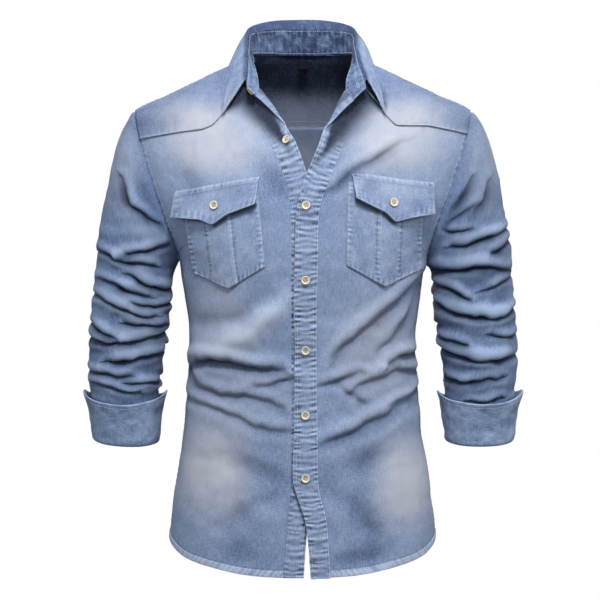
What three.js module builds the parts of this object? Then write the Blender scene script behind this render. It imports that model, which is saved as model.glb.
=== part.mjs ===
// Denim shirt, worn form. Millimetres, +Z up, front faces -Y, +X is the wearer's left.
// The origin is the middle of the neck opening, level with the neck points of the shoulders.
import * as THREE from 'three';

// ---------- driving sizes ----------
const CLOTH = 1.2;          // one layer of denim as modelled
const PLY2 = 1.6;           // plackets, stand and leaf: two or more layers
const SEAM = 0.35;          // gap between neighbouring pieces at a seam
const UNDER = 2.9;          // how much deeper the under placket lies than the top one
const ARM_TOP = -67, ARM_LOW = -268;   // armhole ends
const YOKE_Z = -88;         // back yoke seam at the centre
const BUTTON_D = 12, BUTTON_T = 2.2, BUTTON_HOLE = 1.7, BUTTON_PITCH = 3.0;
const CUFF_H = 62;

// ---------- torso: one row per level ----------
// z level, w half width, f depth in front, b depth behind, n roundness of the ring
const BODY = [
  { z: 12, w: 60, f: 8, b: 60, n: 2.1 }, { z: 7, w: 72, f: 14, b: 63, n: 2.1 },
  { z: -12, w: 112, f: 33, b: 74, n: 2.05 }, { z: -26, w: 140, f: 47, b: 82, n: 2.05 },
  { z: -44, w: 181, f: 60, b: 90, n: 2.05 }, { z: -67, w: 229, f: 73, b: 98, n: 2.1 },
  { z: -90, w: 229.5, f: 84, b: 104, n: 2.15 }, { z: -120, w: 227, f: 97, b: 110, n: 2.2 },
  { z: -150, w: 221, f: 107, b: 114, n: 2.25 }, { z: -180, w: 210.5, f: 114, b: 115, n: 2.3 },
  { z: -210, w: 197.5, f: 118, b: 114, n: 2.3 }, { z: -240, w: 182.5, f: 120, b: 112, n: 2.3 },
  { z: -268, w: 170.3, f: 120, b: 109, n: 2.3 }, { z: -300, w: 165, f: 118, b: 105, n: 2.3 },
  { z: -340, w: 159, f: 114, b: 100, n: 2.3 }, { z: -380, w: 156, f: 110, b: 97, n: 2.3 },
  { z: -420, w: 158, f: 108, b: 97, n: 2.3 }, { z: -460, w: 160.5, f: 108, b: 101, n: 2.3 },
  { z: -500, w: 164, f: 110, b: 106, n: 2.3 }, { z: -540, w: 170, f: 112, b: 111, n: 2.3 },
  { z: -580, w: 176.5, f: 114, b: 115, n: 2.3 }, { z: -620, w: 182, f: 115, b: 117, n: 2.3 },
  { z: -660, w: 186, f: 116, b: 118, n: 2.3 }, { z: -700, w: 188, f: 117, b: 119, n: 2.3 },
];
// armhole line seen from the front
const ARMHOLE = [
  { z: -268, x: 169 }, { z: -259, x: 171.5 }, { z: -224, x: 181.5 }, { z: -195, x: 191.5 },
  { z: -169, x: 201 }, { z: -140, x: 211 }, { z: -104, x: 220.5 }, { z: -67, x: 228 },
];
// hem height round the body, by angle from the front centre
const HEM = [
  { a: 0, z: -689 }, { a: 20, z: -686 }, { a: 40, z: -678 }, { a: 58, z: -670 }, { a: 74, z: -660 },
  { a: 90, z: -652 }, { a: 106, z: -655 }, { a: 124, z: -660 }, { a: 150, z: -665 }, { a: 180, z: -667 },
];
// placket edges, one row per level from the hem up. j: sewn to the front, r: middle or roll line,
// e: free edge, lift: how far the free edge stands out where the front opens
const TOP_PLACKET = [
  { jx: 37, jz: -689, rx: 24, rz: -689, ex: 10.8, ez: -689, lift: 0 },
  { jx: 35, jz: -650, rx: 21.5, rz: -650, ex: 8, ez: -650, lift: 0 },
  { jx: 31.5, jz: -610, rx: 17, rz: -610, ex: 3, ez: -610, lift: 0 },
  { jx: 24, jz: -580, rx: 8.5, rz: -580, ex: -7, ez: -580, lift: 0 },
  { jx: 20.5, jz: -556, rx: 4, rz: -556, ex: -13, ez: -556, lift: 0 },
  { jx: 19.8, jz: -500, rx: 4, rz: -500, ex: -11.5, ez: -500, lift: 0 },
  { jx: 18.8, jz: -440, rx: 3.6, rz: -440, ex: -11, ez: -440, lift: 0 },
  { jx: 18.3, jz: -380, rx: 3.6, rz: -380, ex: -10.5, ez: -380, lift: 0 },
  { jx: 18.5, jz: -320, rx: 3.6, rz: -320, ex: -11.6, ez: -320, lift: 0 },
  { jx: 20.2, jz: -260, rx: 4.8, rz: -260, ex: -10.4, ez: -260, lift: 0 },
  { jx: 21.6, jz: -200, rx: 7, rz: -197, ex: -7.6, ez: -194, lift: 0 },
  { jx: 28, jz: -176, rx: 14, rz: -172, ex: -0.6, ez: -168, lift: 0 },
  { jx: 36, jz: -156, rx: 21, rz: -151, ex: 6.8, ez: -146, lift: 0 },
  { jx: 50, jz: -122, rx: 36, rz: -116, ex: 22.1, ez: -110, lift: 1 },
  { jx: 55.5, jz: -107, rx: 27.6, rz: -95, ex: 27.6, ez: -95, lift: 1.4 },
  { jx: 60, jz: -92, rx: 36.5, rz: -80.7, ex: 41.3, ez: -81.8, lift: 5 },
  { jx: 63.5, jz: -76, rx: 45, rz: -62.5, ex: 51.4, ez: -72.7, lift: 9 },
  { jx: 64, jz: -63, rx: 50.7, rz: -53.5, ex: 59.2, ez: -66.9, lift: 12 },
];
const UNDER_PLACKET = [
  { jx: -28, jz: -689, rx: -13, rz: -689, ex: 1.6, ez: -689, lift: 0 },
  { jx: -25.5, jz: -650, rx: -10.5, rz: -650, ex: 4, ez: -650, lift: 0 },
  { jx: -21.5, jz: -610, rx: -6.5, rz: -610, ex: 8, ez: -610, lift: 0 },
  { jx: -18.5, jz: -580, rx: -3, rz: -580, ex: 12, ez: -580, lift: 0 },
  { jx: -17, jz: -556, rx: -1, rz: -556, ex: 14.5, ez: -556, lift: 0 },
  { jx: -17, jz: -500, rx: -1, rz: -500, ex: 14.5, ez: -500, lift: 0 },
  { jx: -16.8, jz: -440, rx: -1, rz: -440, ex: 14.5, ez: -440, lift: 0 },
  { jx: -16.6, jz: -380, rx: -1, rz: -380, ex: 14, ez: -380, lift: 0 },
  { jx: -16.8, jz: -320, rx: -1, rz: -320, ex: 14, ez: -320, lift: 0 },
  { jx: -16.8, jz: -260, rx: -1, rz: -260, ex: 14.5, ez: -260, lift: 0 },
  { jx: -17.5, jz: -200, rx: -2, rz: -197, ex: 14, ez: -194, lift: 0 },
  { jx: -20, jz: -176, rx: -4, rz: -172, ex: 11.5, ez: -168, lift: 0 },
  { jx: -25.5, jz: -156, rx: -10, rz: -151, ex: 4.8, ez: -146, lift: 0 },
  { jx: -37, jz: -123, rx: -23, rz: -117, ex: -8.5, ez: -111, lift: 1 },
  { jx: -44, jz: -106, rx: -22.6, rz: -88, ex: -22.6, ez: -88, lift: 1.4 },
  { jx: -52, jz: -91, rx: -31.3, rz: -73.3, ex: -34.3, ez: -76.1, lift: 4 },
  { jx: -58.5, jz: -76, rx: -38.8, rz: -61.9, ex: -45.6, ez: -65.7, lift: 7 },
  { jx: -62, jz: -63, rx: -47.8, rz: -51.8, ex: -55.3, ez: -58.6, lift: 9 },
];
// neck seam of the front, from the top of the placket to the neck point
const NECK_FRONT = [
  { x: 63, z: -50 }, { x: 60.5, z: -37 }, { x: 63.5, z: -23 }, { x: 67, z: -9 }, { x: 72, z: 7 },
];
// collar: u from the back centre to the front end. n: neck seam, f: fold line, o: outer edge of the leaf
const COLLAR_LEFT = [
  { u: 0, nx: 0, ny: 62, nz: 11, fx: 0, fy: 74, fz: 60, ox: 0, oy: 88, oz: 16 },
  { u: 0.2, nx: 40, ny: 55, nz: 11, fx: 38.5, fy: 69, fz: 58.6, ox: 45, oy: 82, oz: 13 },
  { u: 0.38, nx: 62, ny: 36, nz: 11, fx: 62, fy: 56, fz: 52.3, ox: 80, oy: 60, oz: 7 },
  { u: 0.5, nx: 71, ny: 14, nz: 10.5, fx: 71.5, fy: 38, fz: 43.5, ox: 97, oy: 30, oz: 2 },
  { u: 0.62, nx: 69.5, ny: -11, nz: 4, fx: 72.5, fy: 8, fz: 22.4, ox: 97, oy: 4, oz: -1 },
  { u: 0.74, nx: 64.5, ny: -29, nz: -10, fx: 76.8, fy: -20, fz: 0.9, ox: 99.5, oy: -20, oz: -17 },
  { u: 0.87, nx: 59, ny: -46, nz: -25, fx: 82.3, fy: -42, fz: -15.2, ox: 106, oy: -52, oz: -43 },
  { u: 1, nx: 57.5, ny: -59.5, nz: -40, fx: 85.2, fy: -57, fz: -25.6, ox: 111, oy: -77, oz: -70 },
];
const COLLAR_RIGHT = [
  { u: 0, nx: 0, ny: 62, nz: 11, fx: 0, fy: 74, fz: 60, ox: 0, oy: 88, oz: 16 },
  { u: 0.2, nx: -40, ny: 55, nz: 11, fx: -38.5, fy: 69, fz: 58.6, ox: -45, oy: 82, oz: 13 },
  { u: 0.38, nx: -62, ny: 36, nz: 11, fx: -64, fy: 56, fz: 52.3, ox: -80, oy: 60, oz: 7 },
  { u: 0.5, nx: -70, ny: 14, nz: 10.5, fx: -75, fy: 38, fz: 43.5, ox: -99, oy: 30, oz: 2 },
  { u: 0.62, nx: -68, ny: -11, nz: 4, fx: -75.5, fy: 8, fz: 22.4, ox: -99, oy: 4, oz: -1 },
  { u: 0.74, nx: -64, ny: -29, nz: -10, fx: -75.4, fy: -20, fz: 0.9, ox: -98, oy: -20, oz: -16.5 },
  { u: 0.87, nx: -60, ny: -46, nz: -25, fx: -75.6, fy: -42, fz: -14.5, ox: -102.7, oy: -50, oz: -40 },
  { u: 1, nx: -58.5, ny: -59, nz: -39, fx: -76.2, fy: -57, fz: -25.6, ox: -106, oy: -77, oz: -69.5 },
];
// free front end of the stand, past the leaf
const STAND_END = { left: { nx: 66.5, ny: -79, nz: -50.5, fx: 85, fy: -70, fz: -36 },
                    right: { nx: -63, ny: -76.5, nz: -45.5, fx: -74, fy: -68, fz: -34 } };
// sleeve rings from the armhole down: outer point, inner point, half depth, centre line in y
const SLEEVE_LEFT = [
  { ox: 228, oz: -67, ix: 169, iz: -268, b: 54, y: 2 }, { ox: 240.5, oz: -77, ix: 169.5, iz: -271, b: 57, y: 2 },
  { ox: 253, oz: -100, ix: 171, iz: -274, b: 58, y: 2 }, { ox: 263, oz: -130, ix: 173, iz: -279, b: 58, y: 2 },
  { ox: 271, oz: -166, ix: 176, iz: -285, b: 58, y: 1 }, { ox: 278, oz: -206, ix: 178.5, iz: -293, b: 57, y: 0 },
  { ox: 284.5, oz: -243, ix: 180, iz: -304, b: 56.5, y: -1 }, { ox: 286.5, oz: -276, ix: 180.5, iz: -318, b: 56, y: -2 },
  { ox: 288.5, oz: -306, ix: 181.5, iz: -334, b: 55, y: -3 }, { ox: 291.5, oz: -332, ix: 184, iz: -351, b: 54, y: -4 },
  { ox: 294, oz: -358, ix: 187, iz: -370, b: 53, y: -5 }, { ox: 295.5, oz: -384, ix: 190, iz: -391, b: 52, y: -6 },
  { ox: 295.5, oz: -410, ix: 193, iz: -413, b: 50.5, y: -7 }, { ox: 294, oz: -436, ix: 195.5, iz: -437, b: 49, y: -8 },
  { ox: 291, oz: -460, ix: 198, iz: -460, b: 46, y: -9 }, { ox: 288.5, oz: -479, ix: 200, iz: -479, b: 44, y: -10 },
];
const SLEEVE_RIGHT = [
  { ox: -228, oz: -67, ix: -169, iz: -268, b: 54, y: 2 }, { ox: -237.5, oz: -77, ix: -169.5, iz: -271, b: 57, y: 2 },
  { ox: -250, oz: -100, ix: -171, iz: -274, b: 58, y: 2 }, { ox: -259.5, oz: -130, ix: -173, iz: -279, b: 58, y: 2 },
  { ox: -267, oz: -166, ix: -176, iz: -285, b: 58, y: 1 }, { ox: -276, oz: -206, ix: -179, iz: -293, b: 57, y: 0 },
  { ox: -281, oz: -243, ix: -181, iz: -304, b: 56.5, y: -1 }, { ox: -283.5, oz: -276, ix: -181, iz: -318, b: 56, y: -2 },
  { ox: -286, oz: -306, ix: -182, iz: -334, b: 55, y: -3 }, { ox: -289, oz: -332, ix: -184, iz: -351, b: 54, y: -4 },
  { ox: -292, oz: -358, ix: -188, iz: -370, b: 53, y: -5 }, { ox: -294, oz: -384, ix: -191.5, iz: -391, b: 52, y: -6 },
  { ox: -294.5, oz: -410, ix: -194, iz: -413, b: 50.5, y: -7 }, { ox: -293.5, oz: -436, ix: -197, iz: -437, b: 49, y: -8 },
  { ox: -290, oz: -460, ix: -199.5, iz: -460, b: 46, y: -9 }, { ox: -287, oz: -479, ix: -201.5, iz: -479, b: 44, y: -10 },
];
// largest folds of the torso: a soft trough (d > 0) or ridge (d < 0) along a bent line, w half width, d depth
const TORSO_FOLDS = [
  { x0: -160, z0: -408, x1: -120, z1: -392, x2: -26, z2: -412, w: 17, d: 6 },
  { x0: -150, z0: -384, x1: -85, z1: -374, x2: -24, z2: -322, w: 20, d: -5 },
  { x0: -150, z0: -425, x1: -110, z1: -446, x2: -40, z2: -450, w: 16, d: 4.5 },
  { x0: -150, z0: -452, x1: -95, z1: -470, x2: -24, z2: -492, w: 17, d: 4 },
  { x0: 158, z0: -288, x1: 110, z1: -330, x2: 44, z2: -392, w: 18, d: 5.5 },
  { x0: 150, z0: -340, x1: 115, z1: -352, x2: 62, z2: -388, w: 16, d: -4 },
  { x0: 155, z0: -408, x1: 110, z1: -412, x2: 66, z2: -434, w: 16, d: 4.5 },
  { x0: 156, z0: -436, x1: 110, z1: -455, x2: 28, z2: -510, w: 18, d: 4 },
  { x0: 26, z0: -184, x1: 75, z1: -146, x2: 138, z2: -106, w: 16, d: 4.5 },
];
const BACK_FOLDS = [
  { x0: -158, z0: -290, x1: -90, z1: -330, x2: -10, z2: -352, w: 20, d: 5 },
  { x0: 158, z0: -300, x1: 95, z1: -342, x2: 20, z2: -372, w: 20, d: 5 },
  { x0: -156, z0: -400, x1: -80, z1: -412, x2: 10, z2: -408, w: 18, d: 5 },
  { x0: 156, z0: -430, x1: 70, z1: -446, x2: -30, z2: -440, w: 18, d: 4.5 },
  { x0: -60, z0: -95, x1: -66, z1: -170, x2: -78, z2: -300, w: 18, d: 3.5 },
  { x0: 62, z0: -95, x1: 66, z1: -180, x2: 80, z2: -290, w: 18, d: 3.5 },
];
// sleeve folds: run round the sleeve. a angle from the outside (degrees, front positive), q share of the length
const SLEEVE_FOLDS_LEFT = [
  { a0: 20, q0: 0.30, a1: 90, q1: 0.22, a2: 150, q2: 0.12, w: 0.030, d: 6 },
  { a0: -20, q0: 0.46, a1: 70, q1: 0.50, a2: 170, q2: 0.34, w: 0.030, d: 6.5 },
  { a0: 0, q0: 0.52, a1: 90, q1: 0.58, a2: 190, q2: 0.52, w: 0.026, d: 6 },
  { a0: -20, q0: 0.66, a1: 80, q1: 0.68, a2: 180, q2: 0.61, w: 0.028, d: 7 },
  { a0: -40, q0: 0.77, a1: 80, q1: 0.79, a2: 190, q2: 0.72, w: 0.026, d: 6.5 },
  { a0: -10, q0: 0.87, a1: 90, q1: 0.89, a2: 180, q2: 0.84, w: 0.024, d: 5 },
  { a0: 200, q0: 0.44, a1: 270, q1: 0.50, a2: 330, q2: 0.42, w: 0.030, d: 6 },
  { a0: 190, q0: 0.62, a1: 260, q1: 0.66, a2: 340, q2: 0.58, w: 0.028, d: 6 },
  { a0: 200, q0: 0.78, a1: 270, q1: 0.80, a2: 340, q2: 0.74, w: 0.026, d: 5.5 },
];
const SLEEVE_FOLDS_RIGHT = [
  { a0: 20, q0: 0.24, a1: 80, q1: 0.30, a2: 150, q2: 0.30, w: 0.030, d: 6 },
  { a0: -10, q0: 0.42, a1: 80, q1: 0.44, a2: 170, q2: 0.38, w: 0.028, d: 6 },
  { a0: 0, q0: 0.50, a1: 90, q1: 0.56, a2: 180, q2: 0.56, w: 0.028, d: 6.5 },
  { a0: -20, q0: 0.58, a1: 80, q1: 0.65, a2: 180, q2: 0.65, w: 0.026, d: 6.5 },
  { a0: -20, q0: 0.71, a1: 80, q1: 0.74, a2: 180, q2: 0.70, w: 0.026, d: 6.5 },
  { a0: 0, q0: 0.80, a1: 90, q1: 0.86, a2: 180, q2: 0.80, w: 0.024, d: 5.5 },
  { a0: 200, q0: 0.40, a1: 270, q1: 0.45, a2: 330, q2: 0.40, w: 0.030, d: 6 },
  { a0: 190, q0: 0.58, a1: 260, q1: 0.62, a2: 340, q2: 0.55, w: 0.028, d: 6 },
  { a0: 200, q0: 0.75, a1: 270, q1: 0.78, a2: 340, q2: 0.72, w: 0.026, d: 5.5 },
];
// pocket bags and flaps: columns across, a share of the width, t top edge, b bottom edge
const BAG_RIGHT = [
  { a: 0, tx: -160, tz: -180, bx: -146.5, bz: -283 }, { a: 0.30, tx: -131, tz: -176, bx: -118, bz: -293.5 },
  { a: 0.50, tx: -110, tz: -173, bx: -97.3, bz: -301.7 }, { a: 0.62, tx: -99, tz: -171.5, bx: -85, bz: -294 },
  { a: 1, tx: -60, tz: -166, bx: -49.3, bz: -271.3 },
];
const BAG_LEFT = [
  { a: 0, tx: 60, tz: -160, bx: 57.5, bz: -269.5 }, { a: 0.38, tx: 100, tz: -166, bx: 97.6, bz: -293.5 },
  { a: 0.50, tx: 112, tz: -167.5, bx: 108.7, bz: -299.7 }, { a: 0.68, tx: 130, tz: -170, bx: 125.5, bz: -291.5 },
  { a: 1, tx: 160, tz: -174, bx: 158, bz: -277.3 },
];
const FLAP_RIGHT = [
  { a: 0, tx: -168, tz: -172.9, bx: -168, bz: -205.6 }, { a: 0.33, tx: -131.5, tz: -166.5, bx: -131.4, bz: -209.3 },
  { a: 0.47, tx: -116, tz: -164, bx: -115.4, bz: -216.4 }, { a: 0.64, tx: -98, tz: -160.5, bx: -97.7, bz: -203 },
  { a: 1, tx: -57, tz: -153, bx: -61.5, bz: -189.8 },
];
const FLAP_LEFT = [
  { a: 0, tx: 64.4, tz: -148.6, bx: 68.8, bz: -182.1 }, { a: 0.37, tx: 105, tz: -153.5, bx: 107.9, bz: -201 },
  { a: 0.50, tx: 119, tz: -155.5, bx: 119.2, bz: -212.8 }, { a: 0.72, tx: 142.5, tz: -158.2, bx: 143, bz: -206 },
  { a: 1, tx: 172.8, tz: -161.7, bx: 168.8, bz: -201 },
];
// lower edge of the shoulder overlays on the fronts, t its place along the shoulder seam
const YOKE_RIGHT = [
  { a: 0, bx: -106, bz: -70, tx: 113 }, { a: 0.14, bx: -109.6, bz: -75, tx: 118 }, { a: 0.24, bx: -119.3, bz: -86, tx: 124 },
  { a: 0.36, bx: -132.4, bz: -91.8, tx: 142 }, { a: 0.6, bx: -167, bz: -95.7, tx: 172 }, { a: 1, bx: -211, bz: -102, tx: 214 },
];
const YOKE_LEFT = [
  { a: 0, bx: 109, bz: -70, tx: 114 }, { a: 0.14, bx: 112.7, bz: -74.8, tx: 118 }, { a: 0.24, bx: 124, bz: -86, tx: 126 },
  { a: 0.36, bx: 137, bz: -86.5, tx: 144 }, { a: 0.6, bx: 168, bz: -86.5, tx: 174 }, { a: 1, bx: 212, bz: -95.5, tx: 214 },
];
const FRONT_BUTTONS = [{ z: -191 }, { z: -289 }, { z: -383 }, { z: -470 }, { z: -554 }];

// ---------- small helpers ----------
const V = (x, y, z) => new THREE.Vector3(x, y, z);
const rad = (a) => a * Math.PI / 180;
const mix = (a, b, k) => a + (b - a) * k;
const clamp = (v, lo, hi) => Math.min(hi, Math.max(lo, v));
const smooth = (e0, e1, v) => { const k = clamp((v - e0) / (e1 - e0), 0, 1); return k * k * (3 - 2 * k); };

// smooth value of column c at key k, where column key rises or falls along the table
function at(rows, key, c, k) {
  const n = rows.length, up = rows[n - 1][key] > rows[0][key] ? 1 : -1;
  let i = 0;
  while (i < n - 2 && up * k > up * rows[i + 1][key]) i++;
  const x0 = rows[i][key], x1 = rows[i + 1][key], u = clamp((k - x0) / (x1 - x0), 0, 1);
  const slope = (j) => {
    const a = Math.max(0, j - 1), b = Math.min(n - 1, j + 1);
    return (rows[b][c] - rows[a][c]) / (rows[b][key] - rows[a][key]);
  };
  const h = x1 - x0, u2 = u * u, u3 = u2 * u;
  return (2 * u3 - 3 * u2 + 1) * rows[i][c] + (u3 - 2 * u2 + u) * h * slope(i)
    + (3 * u2 - 2 * u3) * rows[i + 1][c] + (u3 - u2) * h * slope(i + 1);
}
// straight version, for edges with real corners
function along(rows, key, c, k) {
  let i = 0;
  while (i < rows.length - 2 && k > rows[i + 1][key]) i++;
  const u = clamp((k - rows[i][key]) / (rows[i + 1][key] - rows[i][key]), 0, 1);
  return mix(rows[i][c], rows[i + 1][c], u);
}

// ---------- torso surface ----------
// a: angle from the front centre, 90 at the wearer's left side, 180 at the back, negative to the right
function ring(a, z) {
  const w = at(BODY, 'z', 'w', z), n = at(BODY, 'z', 'n', z), s = Math.sin(rad(a)), c = Math.cos(rad(a));
  const d = c >= 0 ? at(BODY, 'z', 'f', z) : at(BODY, 'z', 'b', z);
  return V(w * Math.sign(s) * Math.abs(s) ** (2 / n), -d * Math.sign(c) * Math.abs(c) ** (2 / n), z);
}
function angleAt(x, z) {
  const k = clamp(Math.abs(x) / at(BODY, 'z', 'w', z), 0, 1);
  return Math.sign(x) * Math.asin(k ** (at(BODY, 'z', 'n', z) / 2)) * 180 / Math.PI;
}
function bend(rows, x, z) {
  let sum = 0;
  for (const r of rows) {
    let best = 1e9, bu = 0;
    for (let i = 0; i <= 12; i++) {
      const u = i / 12, px = (1 - u) ** 2 * r.x0 + 2 * u * (1 - u) * r.x1 + u * u * r.x2;
      const pz = (1 - u) ** 2 * r.z0 + 2 * u * (1 - u) * r.z1 + u * u * r.z2;
      const d2 = (px - x) ** 2 + (pz - z) ** 2;
      if (d2 < best) { best = d2; bu = u; }
    }
    sum += -r.d * Math.exp(-best / (r.w * r.w)) * Math.sin(Math.PI * clamp(0.12 + 0.76 * bu, 0, 1));
  }
  return sum;
}
function torso(a, z, off = 0) {
  const p = ring(a, z), e = 0.5;
  const aLo = Math.abs(a) > 90 ? a : a;
  const da = ring(aLo + e, z).sub(ring(aLo - e, z)), dz = ring(a, z + e).sub(ring(a, z - e));
  const n = da.cross(dz).normalize();
  if (n.x * p.x + n.y * p.y < 0) n.negate();
  const folds = Math.abs(a) <= 90 ? bend(TORSO_FOLDS, p.x, z) : bend(BACK_FOLDS, p.x, z);
  const still = smooth(0, 14, 90 - Math.abs(Math.abs(a) - 0)) * (Math.abs(a) <= 90 ? 1 : 0)
    + smooth(0, 14, Math.abs(a) - 90) * (Math.abs(a) > 90 ? 1 : 0);
  return p.addScaledVector(n, off + folds * still);
}
const onFront = (x, z, off = 0) => torso(angleAt(x, z), z, off);

// ---------- solids from grids ----------
function solid(name, quads, points, colour, rough = 0.85) {
  const index = [];
  for (const q of quads) {
    index.push(q[0], q[1], q[2]);
    if (q.length === 4) index.push(q[0], q[2], q[3]);
  }
  let volume = 0;
  for (let i = 0; i < index.length; i += 3) {
    volume += points[index[i]].dot(points[index[i + 1]].clone().cross(points[index[i + 2]]));
  }
  if (volume < 0) for (let i = 0; i < index.length; i += 3) [index[i + 1], index[i + 2]] = [index[i + 2], index[i + 1]];
  const geometry = new THREE.BufferGeometry();
  geometry.setAttribute('position', new THREE.Float32BufferAttribute(points.flatMap((p) => [p.x, p.y, p.z]), 3));
  geometry.setIndex(index);
  geometry.computeVertexNormals();
  const mesh = new THREE.Mesh(geometry, new THREE.MeshStandardMaterial({ color: colour, roughness: rough, metalness: 0 }));
  mesh.name = name;
  return mesh;
}
// normals of a grid of points, by central differences
function normals(grid, flip) {
  const R = grid.length, C = grid[0].length;
  return grid.map((row, r) => row.map((p, c) => {
    const a = grid[Math.min(R - 1, r + 1)][c].clone().sub(grid[Math.max(0, r - 1)][c]);
    const b = grid[r][Math.min(C - 1, c + 1)].clone().sub(grid[r][Math.max(0, c - 1)]);
    const n = b.cross(a).normalize();
    return flip ? n.negate() : n;
  }));
}
// closed wall: grid is the outer face, the inner face lies t behind it
function wall(name, grid, t, colour, flip = false) {
  const R = grid.length, C = grid[0].length, ns = normals(grid, flip), points = [], quads = [];
  for (const row of grid) points.push(...row);
  grid.forEach((row, r) => row.forEach((p, c) => points.push(p.clone().addScaledVector(ns[r][c], -t))));
  const o = (r, c) => r * C + c, i = (r, c) => R * C + r * C + c;
  for (let r = 0; r < R - 1; r++) for (let c = 0; c < C - 1; c++) {
    quads.push([o(r, c), o(r, c + 1), o(r + 1, c + 1), o(r + 1, c)]);
    quads.push([i(r, c), i(r + 1, c), i(r + 1, c + 1), i(r, c + 1)]);
  }
  for (let c = 0; c < C - 1; c++) {
    quads.push([o(0, c + 1), o(0, c), i(0, c), i(0, c + 1)]);
    quads.push([o(R - 1, c), o(R - 1, c + 1), i(R - 1, c + 1), i(R - 1, c)]);
  }
  for (let r = 0; r < R - 1; r++) {
    quads.push([o(r, 0), o(r + 1, 0), i(r + 1, 0), i(r, 0)]);
    quads.push([o(r + 1, C - 1), o(r, C - 1), i(r, C - 1), i(r + 1, C - 1)]);
  }
  return solid(name, quads, points, colour);
}
// closed tube wall: rings of outer points, each ring closed
function tube(name, rings, t, colour) {
  const R = rings.length, C = rings[0].length, points = [], quads = [];
  rings.forEach((row) => points.push(...row));
  rings.forEach((row, r) => row.forEach((p, c) => {
    const a = rings[Math.min(R - 1, r + 1)][c].clone().sub(rings[Math.max(0, r - 1)][c]);
    const b = row[(c + 1) % C].clone().sub(row[(c + C - 1) % C]);
    const n = b.cross(a).normalize(), mid = row.reduce((s, q) => s.add(q), V(0, 0, 0)).divideScalar(C);
    if (n.dot(p.clone().sub(mid)) < 0) n.negate();
    points.push(p.clone().addScaledVector(n, -t));
  }));
  const o = (r, c) => r * C + (c % C), i = (r, c) => R * C + r * C + (c % C);
  for (let r = 0; r < R - 1; r++) for (let c = 0; c < C; c++) {
    quads.push([o(r, c), o(r, c + 1), o(r + 1, c + 1), o(r + 1, c)]);
    quads.push([i(r, c), i(r + 1, c), i(r + 1, c + 1), i(r, c + 1)]);
  }
  for (let c = 0; c < C; c++) {
    quads.push([o(0, c + 1), o(0, c), i(0, c), i(0, c + 1)]);
    quads.push([o(R - 1, c), o(R - 1, c + 1), i(R - 1, c + 1), i(R - 1, c)]);
  }
  return solid(name, quads, points, colour);
}

const WASH = 0x93a9cb, DEEP = 0x6f88b3, BONE = 0xe6dfcf, BLACK = 0x17181c;
const shirt = new THREE.Group();

// ---------- fronts ----------
const LOWER = 13, UPPER = 9, COLS = 9;
const armX = (z) => at(ARMHOLE, 'z', 'x', z);
function sewn(rows, z) {           // placket join at a level of the lower front
  return at(rows.slice(0, 12), 'jz', 'jx', z);
}
function frontGrid(side, rows) {
  const grid = [], end = rows[rows.length - 1];
  for (let r = 0; r <= LOWER; r++) {
    const k = r / LOWER, zs = mix(-652, ARM_LOW - 6, k), row = [];
    for (let c = 0; c <= COLS; c++) {
      const s = c / COLS, zTop = mix(-200, ARM_LOW - 6, s);
      const zj = mix(-689, -200, k), xj = sewn(rows, zj) + side * 2 * SEAM, aj = angleAt(xj, zj);
      const a = mix(aj, side * 89.8, s), z = mix(at(HEM, 'a', 'z', Math.abs(a)), zTop, k);
      row.push(torso(a, z));
    }
    grid.push(row);
  }
  const joins = rows.slice(11).map((q) => ({ x: q.jx + side * 2 * SEAM, z: q.jz }));
  NECK_FRONT.slice(1).forEach((q) => joins.push({ x: side * q.x, z: q.z }));
  joins.unshift({ x: sewn(rows, -200) + side * 2 * SEAM, z: -200 });
  const N = joins.length - 1;
  for (let r = 1; r <= N; r++) {
    const row = [], zA = mix(ARM_LOW - 6, ARM_TOP + 0.4, smoothRow(r / N));
    const aA = zA < ARM_LOW ? side * 89.8 : angleAt(side * (armX(zA) - SEAM), zA);
    const aJ = r === N ? side * 89.8 : angleAt(joins[r].x, joins[r].z);
    for (let c = 0; c <= COLS; c++) {
      const s = c / COLS;
      const z = mix(joins[r].z, zA, s);
      let a = mix(aJ, aA, s);
      if (r === N) a = side * 89.6;
      row.push(torso(a, z));
    }
    grid.push(row);
  }
  return grid;
}
const smoothRow = (k) => k ** 0.9;
shirt.add(wall('front_left', frontGrid(1, TOP_PLACKET), CLOTH, WASH));
shirt.add(wall('front_right', frontGrid(-1, UNDER_PLACKET), CLOTH, WASH, true));

// ---------- plackets ----------
function placketGrid(rows, deep, roll) {
  const grid = [], steps = [];
  rows.forEach((q, i) => {
    steps.push(q);
    if (i < rows.length - 1 && q.jz < -205) {
      const p = rows[i + 1], m = {};
      for (const key of Object.keys(q)) m[key] = mix(q[key], p[key], 0.5);
      steps.push(m);
    }
  });
  for (const q of steps) {
    const d = deep * (1 - smooth(-148, -112, q.ez));
    const open = q.lift > 1.5, pts = [];
    if (!open) {
      for (let c = 0; c <= 4; c++) {
        const s = c / 4;
        pts.push(onFront(mix(q.jx, q.ex, s), mix(q.jz, q.ez, s), -d + q.lift * s * s));
      }
    } else {
      pts.push(onFront(q.jx, q.jz, 0));
      pts.push(onFront(mix(q.jx, q.rx, 0.55), mix(q.jz, q.rz, 0.55), 0.6));
      pts.push(onFront(mix(q.jx, q.rx, 0.95), mix(q.jz, q.rz, 0.95), q.lift * 0.2));
      pts.push(onFront(mix(q.rx, q.ex, 0.25), mix(q.rz, q.ez, 0.25), q.lift * 0.6));
      pts.push(onFront(q.ex, q.ez, q.lift));
    }
    grid.push(pts);
  }
  return grid;
}
shirt.add(wall('placket_top', placketGrid(TOP_PLACKET, 0), PLY2, WASH, true));
shirt.add(wall('placket_under', placketGrid(UNDER_PLACKET, UNDER), PLY2, WASH));

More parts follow.
